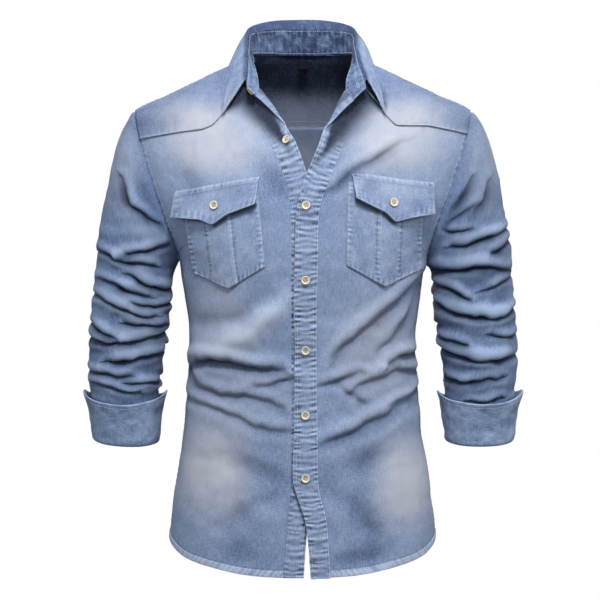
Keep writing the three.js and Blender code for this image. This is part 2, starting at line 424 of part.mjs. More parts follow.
// ---------- back and yoke ----------
const BACK_COLS = 18, BACK_ROWS = 13;
const backArm = (z) => 180 - angleAt(armX(z) - SEAM, z);
const yokeSeam = (s) => YOKE_Z - 4 * s * s;                  // s from -1 to 1 across the back
const backGrid = [];
for (let r = 0; r <= BACK_ROWS; r++) {
  const k = r / BACK_ROWS, row = [];
  for (let c = 0; c <= BACK_COLS; c++) {
    const s = mix(-1, 1, c / BACK_COLS), side = s < 0 ? -1 : 1, m = Math.abs(s);
    const split = 0.62;                                      // share of the rows below the armpit
    let z, aSide;
    if (k <= split) {
      const h = k / split;
      aSide = 90.2;
      const a0 = mix(180, aSide, m);
      z = mix(at(HEM, 'a', 'z', a0), mix(-290, ARM_LOW - 6, m), h);
    } else {
      const h = (k - split) / (1 - split);
      const zSide = mix(ARM_LOW - 6, yokeSeam(1) - SEAM, h);
      z = mix(mix(-290, ARM_LOW - 6, m), yokeSeam(s) - SEAM, h);
      aSide = zSide < ARM_LOW ? 90.2 : backArm(zSide);
    }
    row.push(torso(side * mix(180, aSide, m), z));
  }
  backGrid.push(row);
}
shirt.add(wall('back', backGrid, CLOTH, WASH, true));

const yokeGrid = [], NECK_SHARE = 0.36, YOKE_ROWS = 5;
for (let r = 0; r <= YOKE_ROWS; r++) {
  const k = r / YOKE_ROWS, row = [];
  for (let c = 0; c <= BACK_COLS; c++) {
    const s = mix(-1, 1, c / BACK_COLS), side = s < 0 ? -1 : 1, m = Math.abs(s);
    const zArm = mix(yokeSeam(1), ARM_TOP + 0.4, k), zLow = yokeSeam(s);
    const aLow = mix(180, backArm(yokeSeam(1)), m);
    let aTop, zTop;
    if (m <= NECK_SHARE) {
      aTop = mix(180, 90.4, (m / NECK_SHARE) ** 1.05);
      zTop = mix(10.2, 7, m / NECK_SHARE);
    } else {
      aTop = 90.4;
      zTop = mix(7, ARM_TOP + 0.4, (m - NECK_SHARE) / (1 - NECK_SHARE));
    }
    let a = mix(aLow, aTop, k), z = mix(zLow, zTop, k);
    if (m > 0.999) { z = zArm; a = Math.max(90.4, backArm(zArm)); }
    row.push(torso(side * a, z));
  }
  yokeGrid.push(row);
}
shirt.add(wall('back_yoke', yokeGrid, CLOTH, WASH, true));

// ---------- shoulder overlays on the fronts ----------
function overlay(name, rows, side) {
  const grid = [];
  for (let r = 0; r <= 4; r++) {
    const k = r / 4, row = [];
    for (let c = 0; c <= 9; c++) {
      const a = c / 9, bx = along(rows, 'a', 'bx', a), bz = along(rows, 'a', 'bz', a), tx = along(rows, 'a', 'tx', a);
      const zt = mix(7, ARM_TOP, (tx - 72) / (228 - 72)) - 3;
      const z = mix(bz, zt, k), x = mix(Math.abs(bx), tx, k);
      const edge = z < ARM_TOP + 8 ? Math.abs(angleAt(armX(z) - 7, z)) : 86.5;
      const ang = side * Math.min(r === 4 ? 86.5 : Math.abs(angleAt(x, z)), 86.5, edge);
      row.push(torso(ang, z, CLOTH + (r >= 2 ? 2.9 : 2.1)));
    }
    grid.push(row);
  }
  return wall(name, grid, CLOTH, WASH, side < 0);
}
shirt.add(overlay('front_yoke_left', YOKE_LEFT, 1));
shirt.add(overlay('front_yoke_right', YOKE_RIGHT, -1));

// ---------- collar ----------
function collarRow(u) {                                       // u from -1 (right end) to 1 (left end)
  const rows = u < 0 ? COLLAR_RIGHT : COLLAR_LEFT, k = Math.abs(u), g = (c) => at(rows, 'u', c, k);
  return { n: V(g('nx'), g('ny'), g('nz')), f: V(g('fx'), g('fy'), g('fz')), o: V(g('ox'), g('oy'), g('oz')) };
}
const STAND_COLS = 22, standGrid = [[], [], [], []];
const standStations = [];
for (let c = 0; c <= STAND_COLS; c++) standStations.push(collarRow(mix(-1, 1, c / STAND_COLS)));
const endL = STAND_END.left, endR = STAND_END.right;
standStations.unshift({ n: V(endR.nx, endR.ny, endR.nz), f: V(endR.fx, endR.fy, endR.fz) });
standStations.push({ n: V(endL.nx, endL.ny, endL.nz), f: V(endL.fx, endL.fy, endL.fz) });
for (const q of standStations) {
  [0.03, 0.36, 0.7, 0.94].forEach((k, r) => {
    const p = q.n.clone().lerp(q.f, k), out = V(p.x, p.y - 8, 0).normalize();
    standGrid[r].push(p.addScaledVector(out, -1.6 * Math.sin(Math.PI * k)));
  });
}
shirt.add(wall('collar_stand', standGrid, PLY2, WASH));
const leafGrid = [[], [], [], [], []];
for (let c = 0; c <= STAND_COLS; c++) {
  const q = collarRow(mix(-1, 1, c / STAND_COLS));
  const down = q.o.clone().sub(q.f).normalize();
  const out = V(q.o.x - q.f.x, q.o.y - q.f.y, 0).normalize();
  [0, 0.12, 0.4, 0.7, 1].forEach((k, r) => {
    const p = q.f.clone().lerp(q.o, k);
    p.addScaledVector(out, 3.2 + 4.5 * Math.sin(Math.PI * k ** 0.55) * (1 - 0.4 * k));
    p.z += 2.4 * (1 - smooth(0, 0.3, k));
    leafGrid[r].push(p);
  });
}
shirt.add(wall('collar_leaf', leafGrid, PLY2, WASH, true));
const label = new THREE.Mesh(new THREE.BoxGeometry(14, 0.6, 12), new THREE.MeshStandardMaterial({ color: BLACK, roughness: 0.7, metalness: 0 }));
label.position.set(1.5, 58.4, -1.8);
label.rotation.x = rad(-24);
label.name = 'neck_label';
shirt.add(label);

// ---------- sleeves ----------
const AROUND = 16, SLEEVE_ROWS = 17;
function foldAround(rows, a, q) {
  let sum = 0;
  for (const r of rows) {
    let best = 1e9, bu = 0;
    for (let i = 0; i <= 10; i++) {
      const u = i / 10, fa = (1 - u) ** 2 * r.a0 + 2 * u * (1 - u) * r.a1 + u * u * r.a2;
      const fq = (1 - u) ** 2 * r.q0 + 2 * u * (1 - u) * r.q1 + u * u * r.q2;
      let da = Math.abs(((a - fa) % 360 + 540) % 360 - 180) / 360 * 0.8;
      const d2 = da * da + (q - fq) ** 2;
      if (d2 < best) { best = d2; bu = u; }
    }
    sum -= r.d * Math.exp(-best / (r.w * r.w)) * Math.sin(Math.PI * clamp(0.15 + 0.7 * bu, 0, 1));
  }
  return sum;
}
// a: 0 on the outside, 90 in front, 180 on the body side, 270 behind; q from the armhole (0) to the cuff (1)
function sleevePoint(rows, folds, side, a, q, off = 0) {
  rows = rows.map((r, i) => ({ ...r, i }));
  const last = rows.length - 1, k = q * last, g = (c) => at(rows, 'i', c, k);
  const ca = Math.cos(rad(a)), sa = Math.sin(rad(a));
  const ox = g('ox'), oz = g('oz'), ix = g('ix'), iz = g('iz');
  const n = mix(2, 2.25, smooth(0, 0.3, q)), cx = Math.sign(ca) * Math.abs(ca) ** (2 / n), sx = Math.sign(sa) * Math.abs(sa) ** (2 / n);
  const p = V(mix(ox, ix, (1 - cx) / 2), g('y') - g('b') * sx, mix(oz, iz, (1 - cx) / 2));
  const centre = V((ox + ix) / 2, g('y'), (oz + iz) / 2), n3 = p.clone().sub(centre).normalize();
  const still = smooth(0.04, 0.16, q) * (1 - smooth(0.94, 1, q));
  p.addScaledVector(n3, off + foldAround(folds, a, q) * still);
  // the top ring lies on the armhole of the torso
  const w = 1 - smooth(0, 0.14, q);
  if (w > 0) {
    const zA = clamp(mix(ARM_TOP, ARM_LOW, (1 - ca) / 2), ARM_LOW, ARM_TOP);
    const xa = armX(zA), body = torso(sa >= 0 ? angleAt(xa, zA) : 180 - angleAt(xa, zA), zA);
    const fix = V(side * (xa + 0.15), body.y, zA), top = V(mix(rows[0].ox, rows[0].ix, (1 - cx) / 2), rows[0].y - rows[0].b * sx, mix(rows[0].oz, rows[0].iz, (1 - cx) / 2));
    p.addScaledVector(fix.sub(top), w);
  }
  return p;
}
function sleeve(name, rows, folds, side) {
  const rings = [];
  for (let r = 0; r <= SLEEVE_ROWS; r++) {
    const ringPts = [];
    for (let c = 0; c < AROUND; c++) ringPts.push(sleevePoint(rows, folds, side, c * 360 / AROUND + (c % 2 ? 0 : 0), r / SLEEVE_ROWS));
    if (r === 0) ringPts.forEach((p) => { p.x += side * (SEAM + 0.9); });
    rings.push(ringPts);
  }
  return tube(name, rings, CLOTH, DEEP);
}
shirt.add(sleeve('sleeve_left', SLEEVE_LEFT, SLEEVE_FOLDS_LEFT, 1));
shirt.add(sleeve('sleeve_right', SLEEVE_RIGHT, SLEEVE_FOLDS_RIGHT, -1));

// ---------- turned-back cuffs, split at the outer back ----------
const CUFF_STATIONS = 20;
function cuff(name, rows, side) {
  const end = rows[rows.length - 1], cx = (end.ox + end.ix) / 2, rx = Math.abs(end.ox - end.ix) / 2;
  // o: out from the sleeve surface, z: height under the end of the sleeve
  const section = [
    { o: -CLOTH - 0.4, z: -SEAM }, { o: -CLOTH - 1.4, z: -40 }, { o: 3.2, z: -41 }, { o: 5.4, z: -20 },
    { o: 12.5, z: 21 }, { o: 10.6, z: 21.6 }, { o: 3.6, z: -19 }, { o: 1.6, z: -36 }, { o: 0, z: -36 }, { o: 0.4, z: -SEAM },
  ];
  const points = [], quads = [], S = section.length;
  for (let c = 0; c <= CUFF_STATIONS; c++) {
    const a = rad(mix(-38, 310, c / CUFF_STATIONS)), corner = smooth(0.86, 1, Math.abs(2 * c / CUFF_STATIONS - 1));
    const ex = Math.cos(a), ey = Math.sin(a);
    for (const q of section) {
      const flare = q.z > -30 && q.o > 3 ? 1 : 0;
      const r = q.o + flare * 3 * corner * smooth(-20, 21, q.z);
      points.push(V(cx + side * (rx + r) * ex, end.y - (end.b + r) * ey, end.oz + q.z + flare * smooth(-20, 21, q.z) * (4 * ex * ex - 2 + 3 * corner)));
    }
  }
  for (let c = 0; c < CUFF_STATIONS; c++) for (let s = 0; s < S; s++) {
    const t = (s + 1) % S;
    quads.push([c * S + s, c * S + t, (c + 1) * S + t, (c + 1) * S + s]);
  }
  for (const [c, turn] of [[0, false], [CUFF_STATIONS, true]]) {
    const o = (s) => c * S + s;
    const faces = [[o(0), o(9), o(8), o(1)], [o(1), o(8), o(7), o(2)], [o(2), o(7), o(6), o(3)], [o(3), o(6), o(5), o(4)]];
    for (const f of faces) quads.push(turn ? f.slice().reverse() : f);
  }
  return solid(name, quads, points, DEEP);
}
shirt.add(cuff('cuff_left', SLEEVE_LEFT, 1));
shirt.add(cuff('cuff_right', SLEEVE_RIGHT, -1));

// ---------- pockets and flaps ----------
function patch(name, rows, cols, down, lift, t, flip, extra = () => 0) {
  const grid = [];
  for (let r = 0; r <= down; r++) {
    const k = r / down, row = [];
    for (const a of cols) {
      const x = mix(along(rows, 'a', 'tx', a), along(rows, 'a', 'bx', a), k);
      const z = mix(along(rows, 'a', 'tz', a), along(rows, 'a', 'bz', a), k);
      row.push(onFront(x, z, lift(a, k) + t + extra(a)));
    }
    grid.push(row);
  }
  return wall(name, grid, t, WASH, flip);
}
const pleat = (lo, hi) => (a) => (a > lo && a < hi ? 0.8 : 0);
shirt.add(patch('pocket_right', BAG_RIGHT, [0, 0.15, 0.29, 0.31, 0.5, 0.61, 0.63, 0.82, 1], 6, () => 1.1, CLOTH, false, pleat(0.3, 0.62)));
shirt.add(patch('pocket_left', BAG_LEFT, [0, 0.2, 0.37, 0.39, 0.5, 0.67, 0.69, 0.85, 1], 6, () => 1.1, CLOTH, false, pleat(0.38, 0.68)));
const flapLift = (a, k) => 3.6 + 3.2 * k * k;
shirt.add(patch('flap_right', FLAP_RIGHT, [0, 0.16, 0.33, 0.47, 0.64, 0.82, 1], 3, flapLift, PLY2, false));
shirt.add(patch('flap_left', FLAP_LEFT, [0, 0.18, 0.37, 0.5, 0.72, 0.86, 1], 3, flapLift, PLY2, false));

// ---------- buttons: a rimmed disc with four holes ----------
function button(name, p, n) {
  const outline = new THREE.Shape(), sides = 16;
  for (let i = 0; i < sides; i++) {
    const a = i * 2 * Math.PI / sides, x = BUTTON_D / 2 * Math.cos(a), y = BUTTON_D / 2 * Math.sin(a);
    if (i) outline.lineTo(x, y); else outline.moveTo(x, y);
  }
  for (const [sx, sy] of [[1, 1], [-1, 1], [-1, -1], [1, -1]]) {
    const hole = new THREE.Path(), h = BUTTON_HOLE / 2, cx = sx * BUTTON_PITCH / 2, cy = sy * BUTTON_PITCH / 2;
    for (let i = 0; i < 5; i++) {
      const a = 0.3 + sx * 0.1 + sy * 0.23 - i * 2 * Math.PI / 5, x = cx + h * Math.cos(a), y = cy + h * Math.sin(a);
      if (i) hole.lineTo(x, y); else hole.moveTo(x, y);
    }
    outline.holes.push(hole);
  }
  const mesh = new THREE.Mesh(new THREE.ExtrudeGeometry(outline, { depth: BUTTON_T, bevelEnabled: false }),
    new THREE.MeshStandardMaterial({ color: BONE, roughness: 0.4, metalness: 0 }));
  mesh.quaternion.setFromUnitVectors(V(0, 0, 1), n.clone().normalize());
  mesh.position.copy(p);
  mesh.name = name;
  return mesh;
}
function outward(x, z) {
  const a = onFront(x + 4, z), b = onFront(x - 4, z), c = onFront(x, z + 4), d = onFront(x, z - 4);
  const n = a.sub(b).cross(c.sub(d)).normalize();
  return n.y > 0 ? n.negate() : n;
}
function buttonOn(name, x, z, off) {
  const n = outward(x, z);
  shirt.add(button(name, onFront(x, z, off), n));
}
FRONT_BUTTONS.forEach((q, i) => buttonOn('button_' + (i + 2), 3.8, q.z, 0.8));
buttonOn('button_1', -21.5, -103, 1.6);
buttonOn('button_pocket_right', -115.5, -191.5, 8.6);
buttonOn('button_pocket_left', 120.5, -188, 8.8);
{
  const q = STAND_END.right, p = V(-71.5, -76, -44.5), n = V(-0.55, -0.1, -0.83);
  shirt.add(button('button_collar', p, n));
}

export default shirt;
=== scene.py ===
# Washed denim shirt, worn form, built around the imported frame. Shapes are worked out in millimetres
# in the row frame (X wearer's left, -Y front, Z up) and written to the meshes in metres.
import math

import bpy
import bmesh
import numpy as np
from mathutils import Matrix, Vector


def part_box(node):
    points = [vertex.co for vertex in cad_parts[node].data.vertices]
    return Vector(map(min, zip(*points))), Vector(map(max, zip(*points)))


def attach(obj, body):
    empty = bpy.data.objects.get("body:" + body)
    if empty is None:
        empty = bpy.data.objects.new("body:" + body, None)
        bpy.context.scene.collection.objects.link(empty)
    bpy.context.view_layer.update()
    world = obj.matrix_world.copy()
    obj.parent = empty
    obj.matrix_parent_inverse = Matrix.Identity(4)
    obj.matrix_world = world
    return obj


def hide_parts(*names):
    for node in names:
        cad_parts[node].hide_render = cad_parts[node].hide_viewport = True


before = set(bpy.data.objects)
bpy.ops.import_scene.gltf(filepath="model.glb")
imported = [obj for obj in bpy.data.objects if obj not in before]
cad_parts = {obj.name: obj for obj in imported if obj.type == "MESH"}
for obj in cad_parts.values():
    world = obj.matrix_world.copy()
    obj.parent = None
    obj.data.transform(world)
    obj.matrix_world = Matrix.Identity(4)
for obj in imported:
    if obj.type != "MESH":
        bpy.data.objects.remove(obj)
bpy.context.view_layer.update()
MM = 0.001

# ------------------------------------------------------------------ sizes and short tables
ARM_TOP, ARM_LOW = -67.0, -268.0
YOKE_Z = -88.0
# level z, half width w, depth in front f, depth behind b, roundness n
BODY = np.array([
    (12, 60, 8, 60, 2.1), (7, 72, 14, 63, 2.1), (-12, 112, 33, 74, 2.05), (-26, 140, 47, 82, 2.05),
    (-44, 181, 60, 90, 2.05), (-67, 229, 73, 98, 2.1), (-90, 229.5, 84, 104, 2.15), (-120, 227, 97, 110, 2.2),
    (-150, 221, 107, 114, 2.25), (-180, 210.5, 114, 115, 2.3), (-210, 197.5, 118, 114, 2.3),
    (-240, 182.5, 120, 112, 2.3), (-268, 170.3, 120, 109, 2.3), (-300, 165, 118, 105, 2.3),
    (-340, 159, 114, 100, 2.3), (-380, 156, 110, 97, 2.3), (-420, 158, 108, 97, 2.3),
    (-460, 160.5, 108, 101, 2.3), (-500, 164, 110, 106, 2.3), (-540, 170, 112, 111, 2.3),
    (-580, 176.5, 114, 115, 2.3), (-620, 182, 115, 117, 2.3), (-660, 186, 116, 118, 2.3), (-700, 188, 117, 119, 2.3)])
ARMHOLE = np.array([(-268, 169), (-259, 171.5), (-224, 181.5), (-195, 191.5), (-169, 201), (-140, 211), (-104, 220.5), (-67, 228)])
# hem height by angle from the front centre
HEM = np.array([(0, -689), (20, -686), (40, -678), (58, -670), (74, -660), (90, -652), (106, -655), (124, -660), (150, -665), (180, -667)])
# plackets: join jx jz, roll line rx rz, free edge ex ez, how far the free edge stands out
TOP_PLACKET = np.array([
    (37, -689, 24, -689, 10.8, -689, 0), (35, -650, 21.5, -650, 8, -650, 0), (31.5, -610, 17, -610, 3, -610, 0),
    (24, -580, 8.5, -580, -7, -580, 0), (20.5, -556, 4, -556, -13, -556, 0), (19.8, -500, 4, -500, -11.5, -500, 0),
    (18.8, -440, 3.6, -440, -11, -440, 0), (18.3, -380, 3.6, -380, -10.5, -380, 0), (18.5, -320, 3.6, -320, -11.6, -320, 0),
    (20.2, -260, 4.8, -260, -10.4, -260, 0), (21.6, -200, 7, -197, -7.6, -194, 0), (28, -176, 14, -172, -0.6, -168, 0),
    (36, -156, 21, -151, 6.8, -146, 0), (50, -122, 36, -116, 22.1, -110, 1), (55.5, -107, 27.6, -95, 27.6, -95, 1.4),
    (60, -92, 36.5, -80.7, 41.3, -81.8, 5), (63.5, -76, 45, -62.5, 51.4, -72.7, 9), (64, -63, 50.7, -52.5, 59.2, -66.9, 13),
    (63, -50, 55.7, -44.4, 67.2, -61.4, 16)], float)
UNDER_PLACKET = np.array([
    (-28, -689, -13, -689, 1.6, -689, 0), (-25.5, -650, -10.5, -650, 4, -650, 0), (-21.5, -610, -6.5, -610, 8, -610, 0),
    (-18.5, -580, -3, -580, 12, -580, 0), (-17, -556, -1, -556, 14.5, -556, 0), (-17, -500, -1, -500, 14.5, -500, 0),
    (-16.8, -440, -1, -440, 14.5, -440, 0), (-16.6, -380, -1, -380, 14, -380, 0), (-16.8, -320, -1, -320, 14, -320, 0),
    (-16.8, -260, -1, -260, 14.5, -260, 0), (-17.5, -200, -2, -197, 14, -194, 0), (-20, -176, -4, -172, 11.5, -168, 0),
    (-25.5, -156, -10, -151, 4.8, -146, 0), (-37, -123, -23, -117, -8.5, -111, 1), (-44, -106, -22.6, -88, -22.6, -88, 1.4),
    (-52, -91, -31.3, -73.3, -34.3, -76.1, 4), (-58.5, -76, -38.8, -61.9, -45.6, -65.7, 7), (-62, -63, -47.8, -50.8, -55.3, -57.6, 9),
    (-64, -50, -56, -41.5, -63.4, -52.7, 11)], float)
NECK_FRONT = np.array([(63, -50), (60.5, -37), (63.5, -23), (67, -9), (72, 7)], float)
# collar: u, neck seam n, fold line f, outer edge o, share m of the stand's height at the stand and leaf seam
COLLAR_LEFT = np.array([
    (0, 0, 62, 11, 0, 74, 60, 0, 88, 16, 0.74), (0.2, 40, 55, 11, 38.5, 69, 58.6, 45, 82, 13, 0.75),
    (0.38, 62, 36, 11, 62, 56, 52.3, 80, 60, 6, 0.79), (0.5, 71, 14, 10.5, 71.5, 38, 43.5, 97, 30, -2, 0.83),
    (0.62, 69.5, -11, 4, 72.5, 8, 22.4, 97.5, 4, -6, 0.85), (0.74, 64.5, -29, -10, 76.8, -20, 0.9, 99.5, -20, -17, 0.87),
    (0.87, 59, -46, -25, 82.3, -42, -15.2, 106, -52, -43, 0.9), (1, 57.5, -59.5, -40, 85.2, -57, -25.6, 111, -77, -70, 0.93)], float)
COLLAR_RIGHT = np.array([
    (0, 0, 62, 11, 0, 74, 60, 0, 88, 16, 0.74), (0.2, -40, 55, 11, -38.5, 69, 58.6, -45, 82, 13, 0.75),
    (0.38, -62, 36, 11, -64, 56, 52.3, -80, 60, 6, 0.79), (0.5, -70, 14, 10.5, -75, 38, 43.5, -99, 30, -2, 0.83),
    (0.62, -68, -11, 4, -75.5, 8, 22.4, -99.5, 4, -6, 0.85), (0.74, -64, -29, -10, -75.4, -20, 0.9, -98, -20, -16.5, 0.87),
    (0.87, -60, -46, -25, -75.6, -42, -14.5, -102.7, -50, -40, 0.9), (1, -58.5, -59, -39, -76.2, -57, -25.6, -106, -77, -69.5, 0.93)], float)
STAND_END_LEFT = np.array((68.7, -81, -51.8, 84.6, -70, -37.3))
STAND_END_RIGHT = np.array((-63.6, -78, -46.6, -74.5, -69, -35.9))
# sleeves: outer point ox oz, inner point ix iz, half depth b, middle line y
SLEEVE_LEFT = np.array([
    (228, -67, 169, -268, 54, 2), (240.5, -77, 169.5, -271, 57, 2), (253, -100, 171, -274, 58, 2), (263, -130, 173, -279, 58, 2),
    (271, -166, 176, -285, 58, 1), (278, -206, 178.5, -293, 57, 0), (284.5, -243, 180, -304, 56.5, -1), (286.5, -276, 180.5, -318, 56, -2),
    (288.5, -306, 181.5, -334, 55, -3), (291.5, -332, 184, -351, 54, -4), (294, -358, 187, -370, 53, -5), (295.5, -384, 190, -391, 52, -6),
    (295.5, -410, 193, -413, 50.5, -7), (294, -436, 195.5, -437, 49, -8), (291, -460, 198, -460, 46, -9), (288.5, -479, 200, -479, 44, -10)], float)
SLEEVE_RIGHT = np.array([
    (-228, -67, -169, -268, 54, 2), (-237.5, -77, -169.5, -271, 57, 2), (-250, -100, -171, -274, 58, 2), (-259.5, -130, -173, -279, 58, 2),
    (-267, -166, -176, -285, 58, 1), (-276, -206, -179, -293, 57, 0), (-281, -243, -181, -304, 56.5, -1), (-283.5, -276, -181, -318, 56, -2),
    (-286, -306, -182, -334, 55, -3), (-289, -332, -184, -351, 54, -4), (-292, -358, -188, -370, 53, -5), (-294, -384, -191.5, -391, 52, -6),
    (-294.5, -410, -194, -413, 50.5, -7), (-293.5, -436, -197, -437, 49, -8), (-290, -460, -199.5, -460, 46, -9), (-287, -479, -201.5, -479, 44, -10)], float)
# folds: half width w, depth d (a ridge if negative), share of ridge beside it, line of x z points
FOLDS_FRONT = [
    (10, 7, 0.5, [(-161, -418), (-130, -398), (-91, -403), (-54, -409), (-25, -412)]),
    (17, -6, 0, [(-140, -375), (-110, -380), (-72, -368), (-54, -341), (-23, -316)]),
    (13, 4, 0, [(-131, -349), (-83, -343), (-43, -310)]),
    (9, 3.6, 0.4, [(-157, -419), (-143, -436), (-111, -444), (-78, -443), (-54, -448), (-27, -461)]),
    (8, 3.6, 0.3, [(-66, -431), (-40, -429), (-8, -421)]),
    (9, 3.2, 0.5, [(-160, -453), (-133, -460), (-104, -472), (-61, -486), (-16, -491)]),
    (15, 3, 0, [(-63, -138), (-35, -160), (-13, -184)]),
    (12, 5, 0.5, [(163, -290), (128, -321), (90, -352), (62, -370), (43, -394)]),
    (10, 4, 0.4, [(160, -305), (138, -346), (118, -374), (102, -388)]),
    (9, 6, 0.5, [(163, -397), (138, -396), (117, -405)]),
    (10, 5, 0.5, [(162, -418), (129, -413), (100, -424), (69, -435)]),
    (8, 3.5, 0.4, [(20, -431), (43, -425), (76, -416)]),
    (9, 3, 0.4, [(52, -434), (86, -457)]),
    (8, 4, 0.4, [(164, -440), (144, -452), (123, -457)]),
    (12, 4.5, 0.5, [(159, -460), (129, -464), (100, -480), (71, -491), (24, -510)]),
    (10, 4.5, 0.6, [(24, -180), (61, -151), (80, -137), (108, -123), (136, -107)]),
    (20, 2.6, 0, [(-89, -518), (-94, -586), (-84, -666)]),
    (20, 2.6, 0, [(93, -519), (85, -585), (96, -666)]),
    (15, 2.8, 0, [(-18, -556), (-62, -548), (-110, -533)]),
    (15, 2.6, 0, [(-20, -572), (-60, -592), (-104, -622)]),
    (15, 2.6, 0, [(22, -554), (57, -545), (120, -520)]),
    (15, 2.8, 0, [(24, -566), (62, -590), (112, -640)]),
    (13, 3.0, 0, [(46, -672), (76, -664), (112, -658)]),
    (16, 2.5, 0, [(-170, -132), (-149, -158), (-141, -169)]),
]
FOLDS_BACK = [
    (13, 5, 0.5, [(-163, -288), (-120, -318), (-70, -342), (-20, -352)]),
    (13, 5, 0.5, [(163, -296), (118, -330), (70, -358), (24, -370)]),
    (12, 5.5, 0.5, [(-160, -398), (-110, -410), (-50, -414), (20, -404)]),
    (12, 5, 0.5, [(160, -428), (110, -442), (50, -448), (-30, -438)]),
    (11, 4, 0.4, [(-158, -440), (-112, -462), (-60, -470)]),
    (11, 4, 0.4, [(158, -470), (110, -490), (60, -492)]),
    (17, 3, 0, [(-62, -96), (-66, -170), (-80, -290)]),
    (17, 3, 0, [(64, -96), (68, -180), (84, -284)]),
    (14, 3, 0.3, [(-180, -180), (-150, -220), (-100, -244)]),
    (14, 3, 0.3, [(182, -176), (150, -214), (104, -246)]),
    (22, 2.4, 0, [(-90, -500), (-96, -580), (-84, -655)]),
    (22, 2.4, 0, [(80, -510), (88, -590), (78, -655)]),
    (12, 3, 0.4, [(-40, -372), (10, -384), (60, -380)]),
]
FOLDS_SLEEVE_RIGHT = [
    (9, 5, 0.5, [(-244, -158), (-231, -190), (-207, -212), (-187, -222)]),
    (7, 5, 0.5, [(-247, -257), (-213, -253), (-177, -245)]),
    (7, 7, 0.6, [(-282, -254), (-264, -257), (-234, -265), (-204, -274)]),
    (8, 6, 0.5, [(-234, -285), (-204, -300), (-176, -308)]),
    (7, 6, 0.6, [(-275, -293), (-241, -306), (-208, -314)]),
    (7, 7.5, 0.6, [(-287, -312), (-263, -323), (-234, -334), (-202, -342)]),
    (6, 4.5, 0.5, [(-234, -325), (-207, -325), (-177, -329)]),
    (7, 6, 0.5, [(-240, -353), (-211, -353), (-182, -358)]),
    (7, 6, 0.5, [(-289, -353), (-270, -362), (-251, -370)]),
    (8, 7.5, 0.6, [(-292, -371), (-263, -377), (-236, -377), (-182, -364)]),
    (8, 7.5, 0.6, [(-265, -405), (-224, -400), (-184, -394)]),
    (7, 6, 0.6, [(-294, -419), (-265, -422), (-235, -423)]),
    (6, 5, 0.5, [(-243, -433), (-219, -433), (-192, -437)]),
    (6, 5, 0.5, [(-287, -436), (-254, -441), (-224, -447)]),
    (12, 3.5, 0, [(-206, -106), (-211, -159), (-195, -207)]),
    (12, -3, 0, [(-244, -207), (-220, -230), (-185, -238)]),
]
FOLDS_SLEEVE_LEFT = [
    (10, 4, 0.4, [(254, -158), (244, -183), (226, -208)]),
    (9, 4.5, 0.4, [(229, -154), (210, -184), (187, -213)]),
    (7, 4, 0.4, [(234, -188), (213, -203), (187, -219)]),
    (6, 4, 0.4, [(183, -222), (205, -226), (227, -226)]),
    (8, 8, 0.6, [(202, -246), (240, -239), (283, -223)]),
    (7, 6, 0.5, [(254, -257), (267, -250), (288, -240)]),
    (10, 7, 0.6, [(174, -285), (200, -277), (230, -273), (254, -274), (287, -281)]),
    (7, 6, 0.5, [(180, -299), (203, -308), (226, -321)]),
    (7, 5, 0.5, [(239, -307), (261, -300), (287, -291)]),
    (9, 9, 0.6, [(180, -329), (207, -337), (234, -341), (261, -340), (293, -333)]),
    (7, 6, 0.5, [(184, -370), (203, -374), (221, -379)]),
    (6, 5, 0.5, [(255, -366), (273, -368), (293, -371)]),
    (9, 8.5, 0.6, [(184, -385), (212, -393), (239, -399), (266, -400), (296, -396)]),
    (7, 6, 0.6, [(191, -430), (215, -434), (239, -431), (272, -423)]),
    (6, 4.5, 0.5, [(228, -455), (249, -456), (269, -452)]),
    (12, 3.5, 0, [(205, -106), (210, -146), (194, -193)]),
]
# the hidden halves of the sleeves: the same kind of folds at other heights
BACK_SLEEVE_SHIFT = ((1.0, 14.0), (1.0, -11.0))
# pocket bags and flaps: share across a, top edge tx tz, bottom edge bx bz
BAG_RIGHT = np.array([(0, -160, -180, -146.5, -283), (0.30, -131, -176, -118, -293.5), (0.50, -110, -173, -97.3, -301.7),
                      (0.62, -99, -171.5, -85, -294), (1, -60, -166, -49.3, -271.3)], float)
BAG_LEFT = np.array([(0, 60, -160, 57.5, -269.5), (0.38, 100, -166, 97.6, -293.5), (0.50, 112, -167.5, 108.7, -299.7),
                     (0.68, 130, -170, 125.5, -291.5), (1, 160, -174, 158, -277.3)], float)
FLAP_RIGHT = np.array([(0, -168, -172.9, -168, -205.6), (0.33, -131.5, -166.5, -131.4, -209.3), (0.47, -116, -164, -115.4, -216.4),
                       (0.64, -98, -160.5, -97.7, -203), (1, -57, -153, -61.5, -189.8)], float)
FLAP_LEFT = np.array([(0, 64.4, -148.6, 68.8, -182.1), (0.37, 105, -153.5, 107.9, -201), (0.50, 119, -155.5, 119.2, -212.8),
                      (0.72, 142.5, -158.2, 143, -206), (1, 172.8, -161.7, 168.8, -201)], float)
YOKE_RIGHT = np.array([(0, -84, -42, 80), (0.06, -98, -60, 92), (0.16, -109.6, -75, 116), (0.24, -119.3, -86, 124), (0.36, -132.4, -91.8, 142),
                       (0.6, -167, -95.7, 172), (1, -219, -104, 227.5)], float)
YOKE_LEFT = np.array([(0, 86, -42, 80), (0.06, 101, -60, 92), (0.16, 112.7, -74.8, 116), (0.24, 124, -86, 126), (0.36, 137, -86.5, 144),
                      (0.6, 168, -86.5, 174), (1, 221, -97, 227.5)], float)
SLEEVE_DEPTH, SLEEVE_WIDE = 1.25, 0.6
BODY_DEPTH, BODY_WIDE = 1.45, 0.72
# lines along which the shade of the collar and the turned-out strips is painted on the fronts: x z, reach
SHADE_RIGHT = [(-107, -71, 4), (-98, -60, 13), (-88, -50, 24), (-76, -40, 32), (-62, -58, 30), (-46, -76, 26), (-34, -92, 20), (-22, -110, 11), (-10, -132, 4), (-2, -150, 2)]
SHADE_LEFT = [(111, -70, 4), (103, -58, 14), (95, -48, 24), (82, -44, 32), (68, -62, 38), (52, -76, 40), (42, -92, 32), (32, -108, 20), (20, -128, 10), (9, -146, 4)]
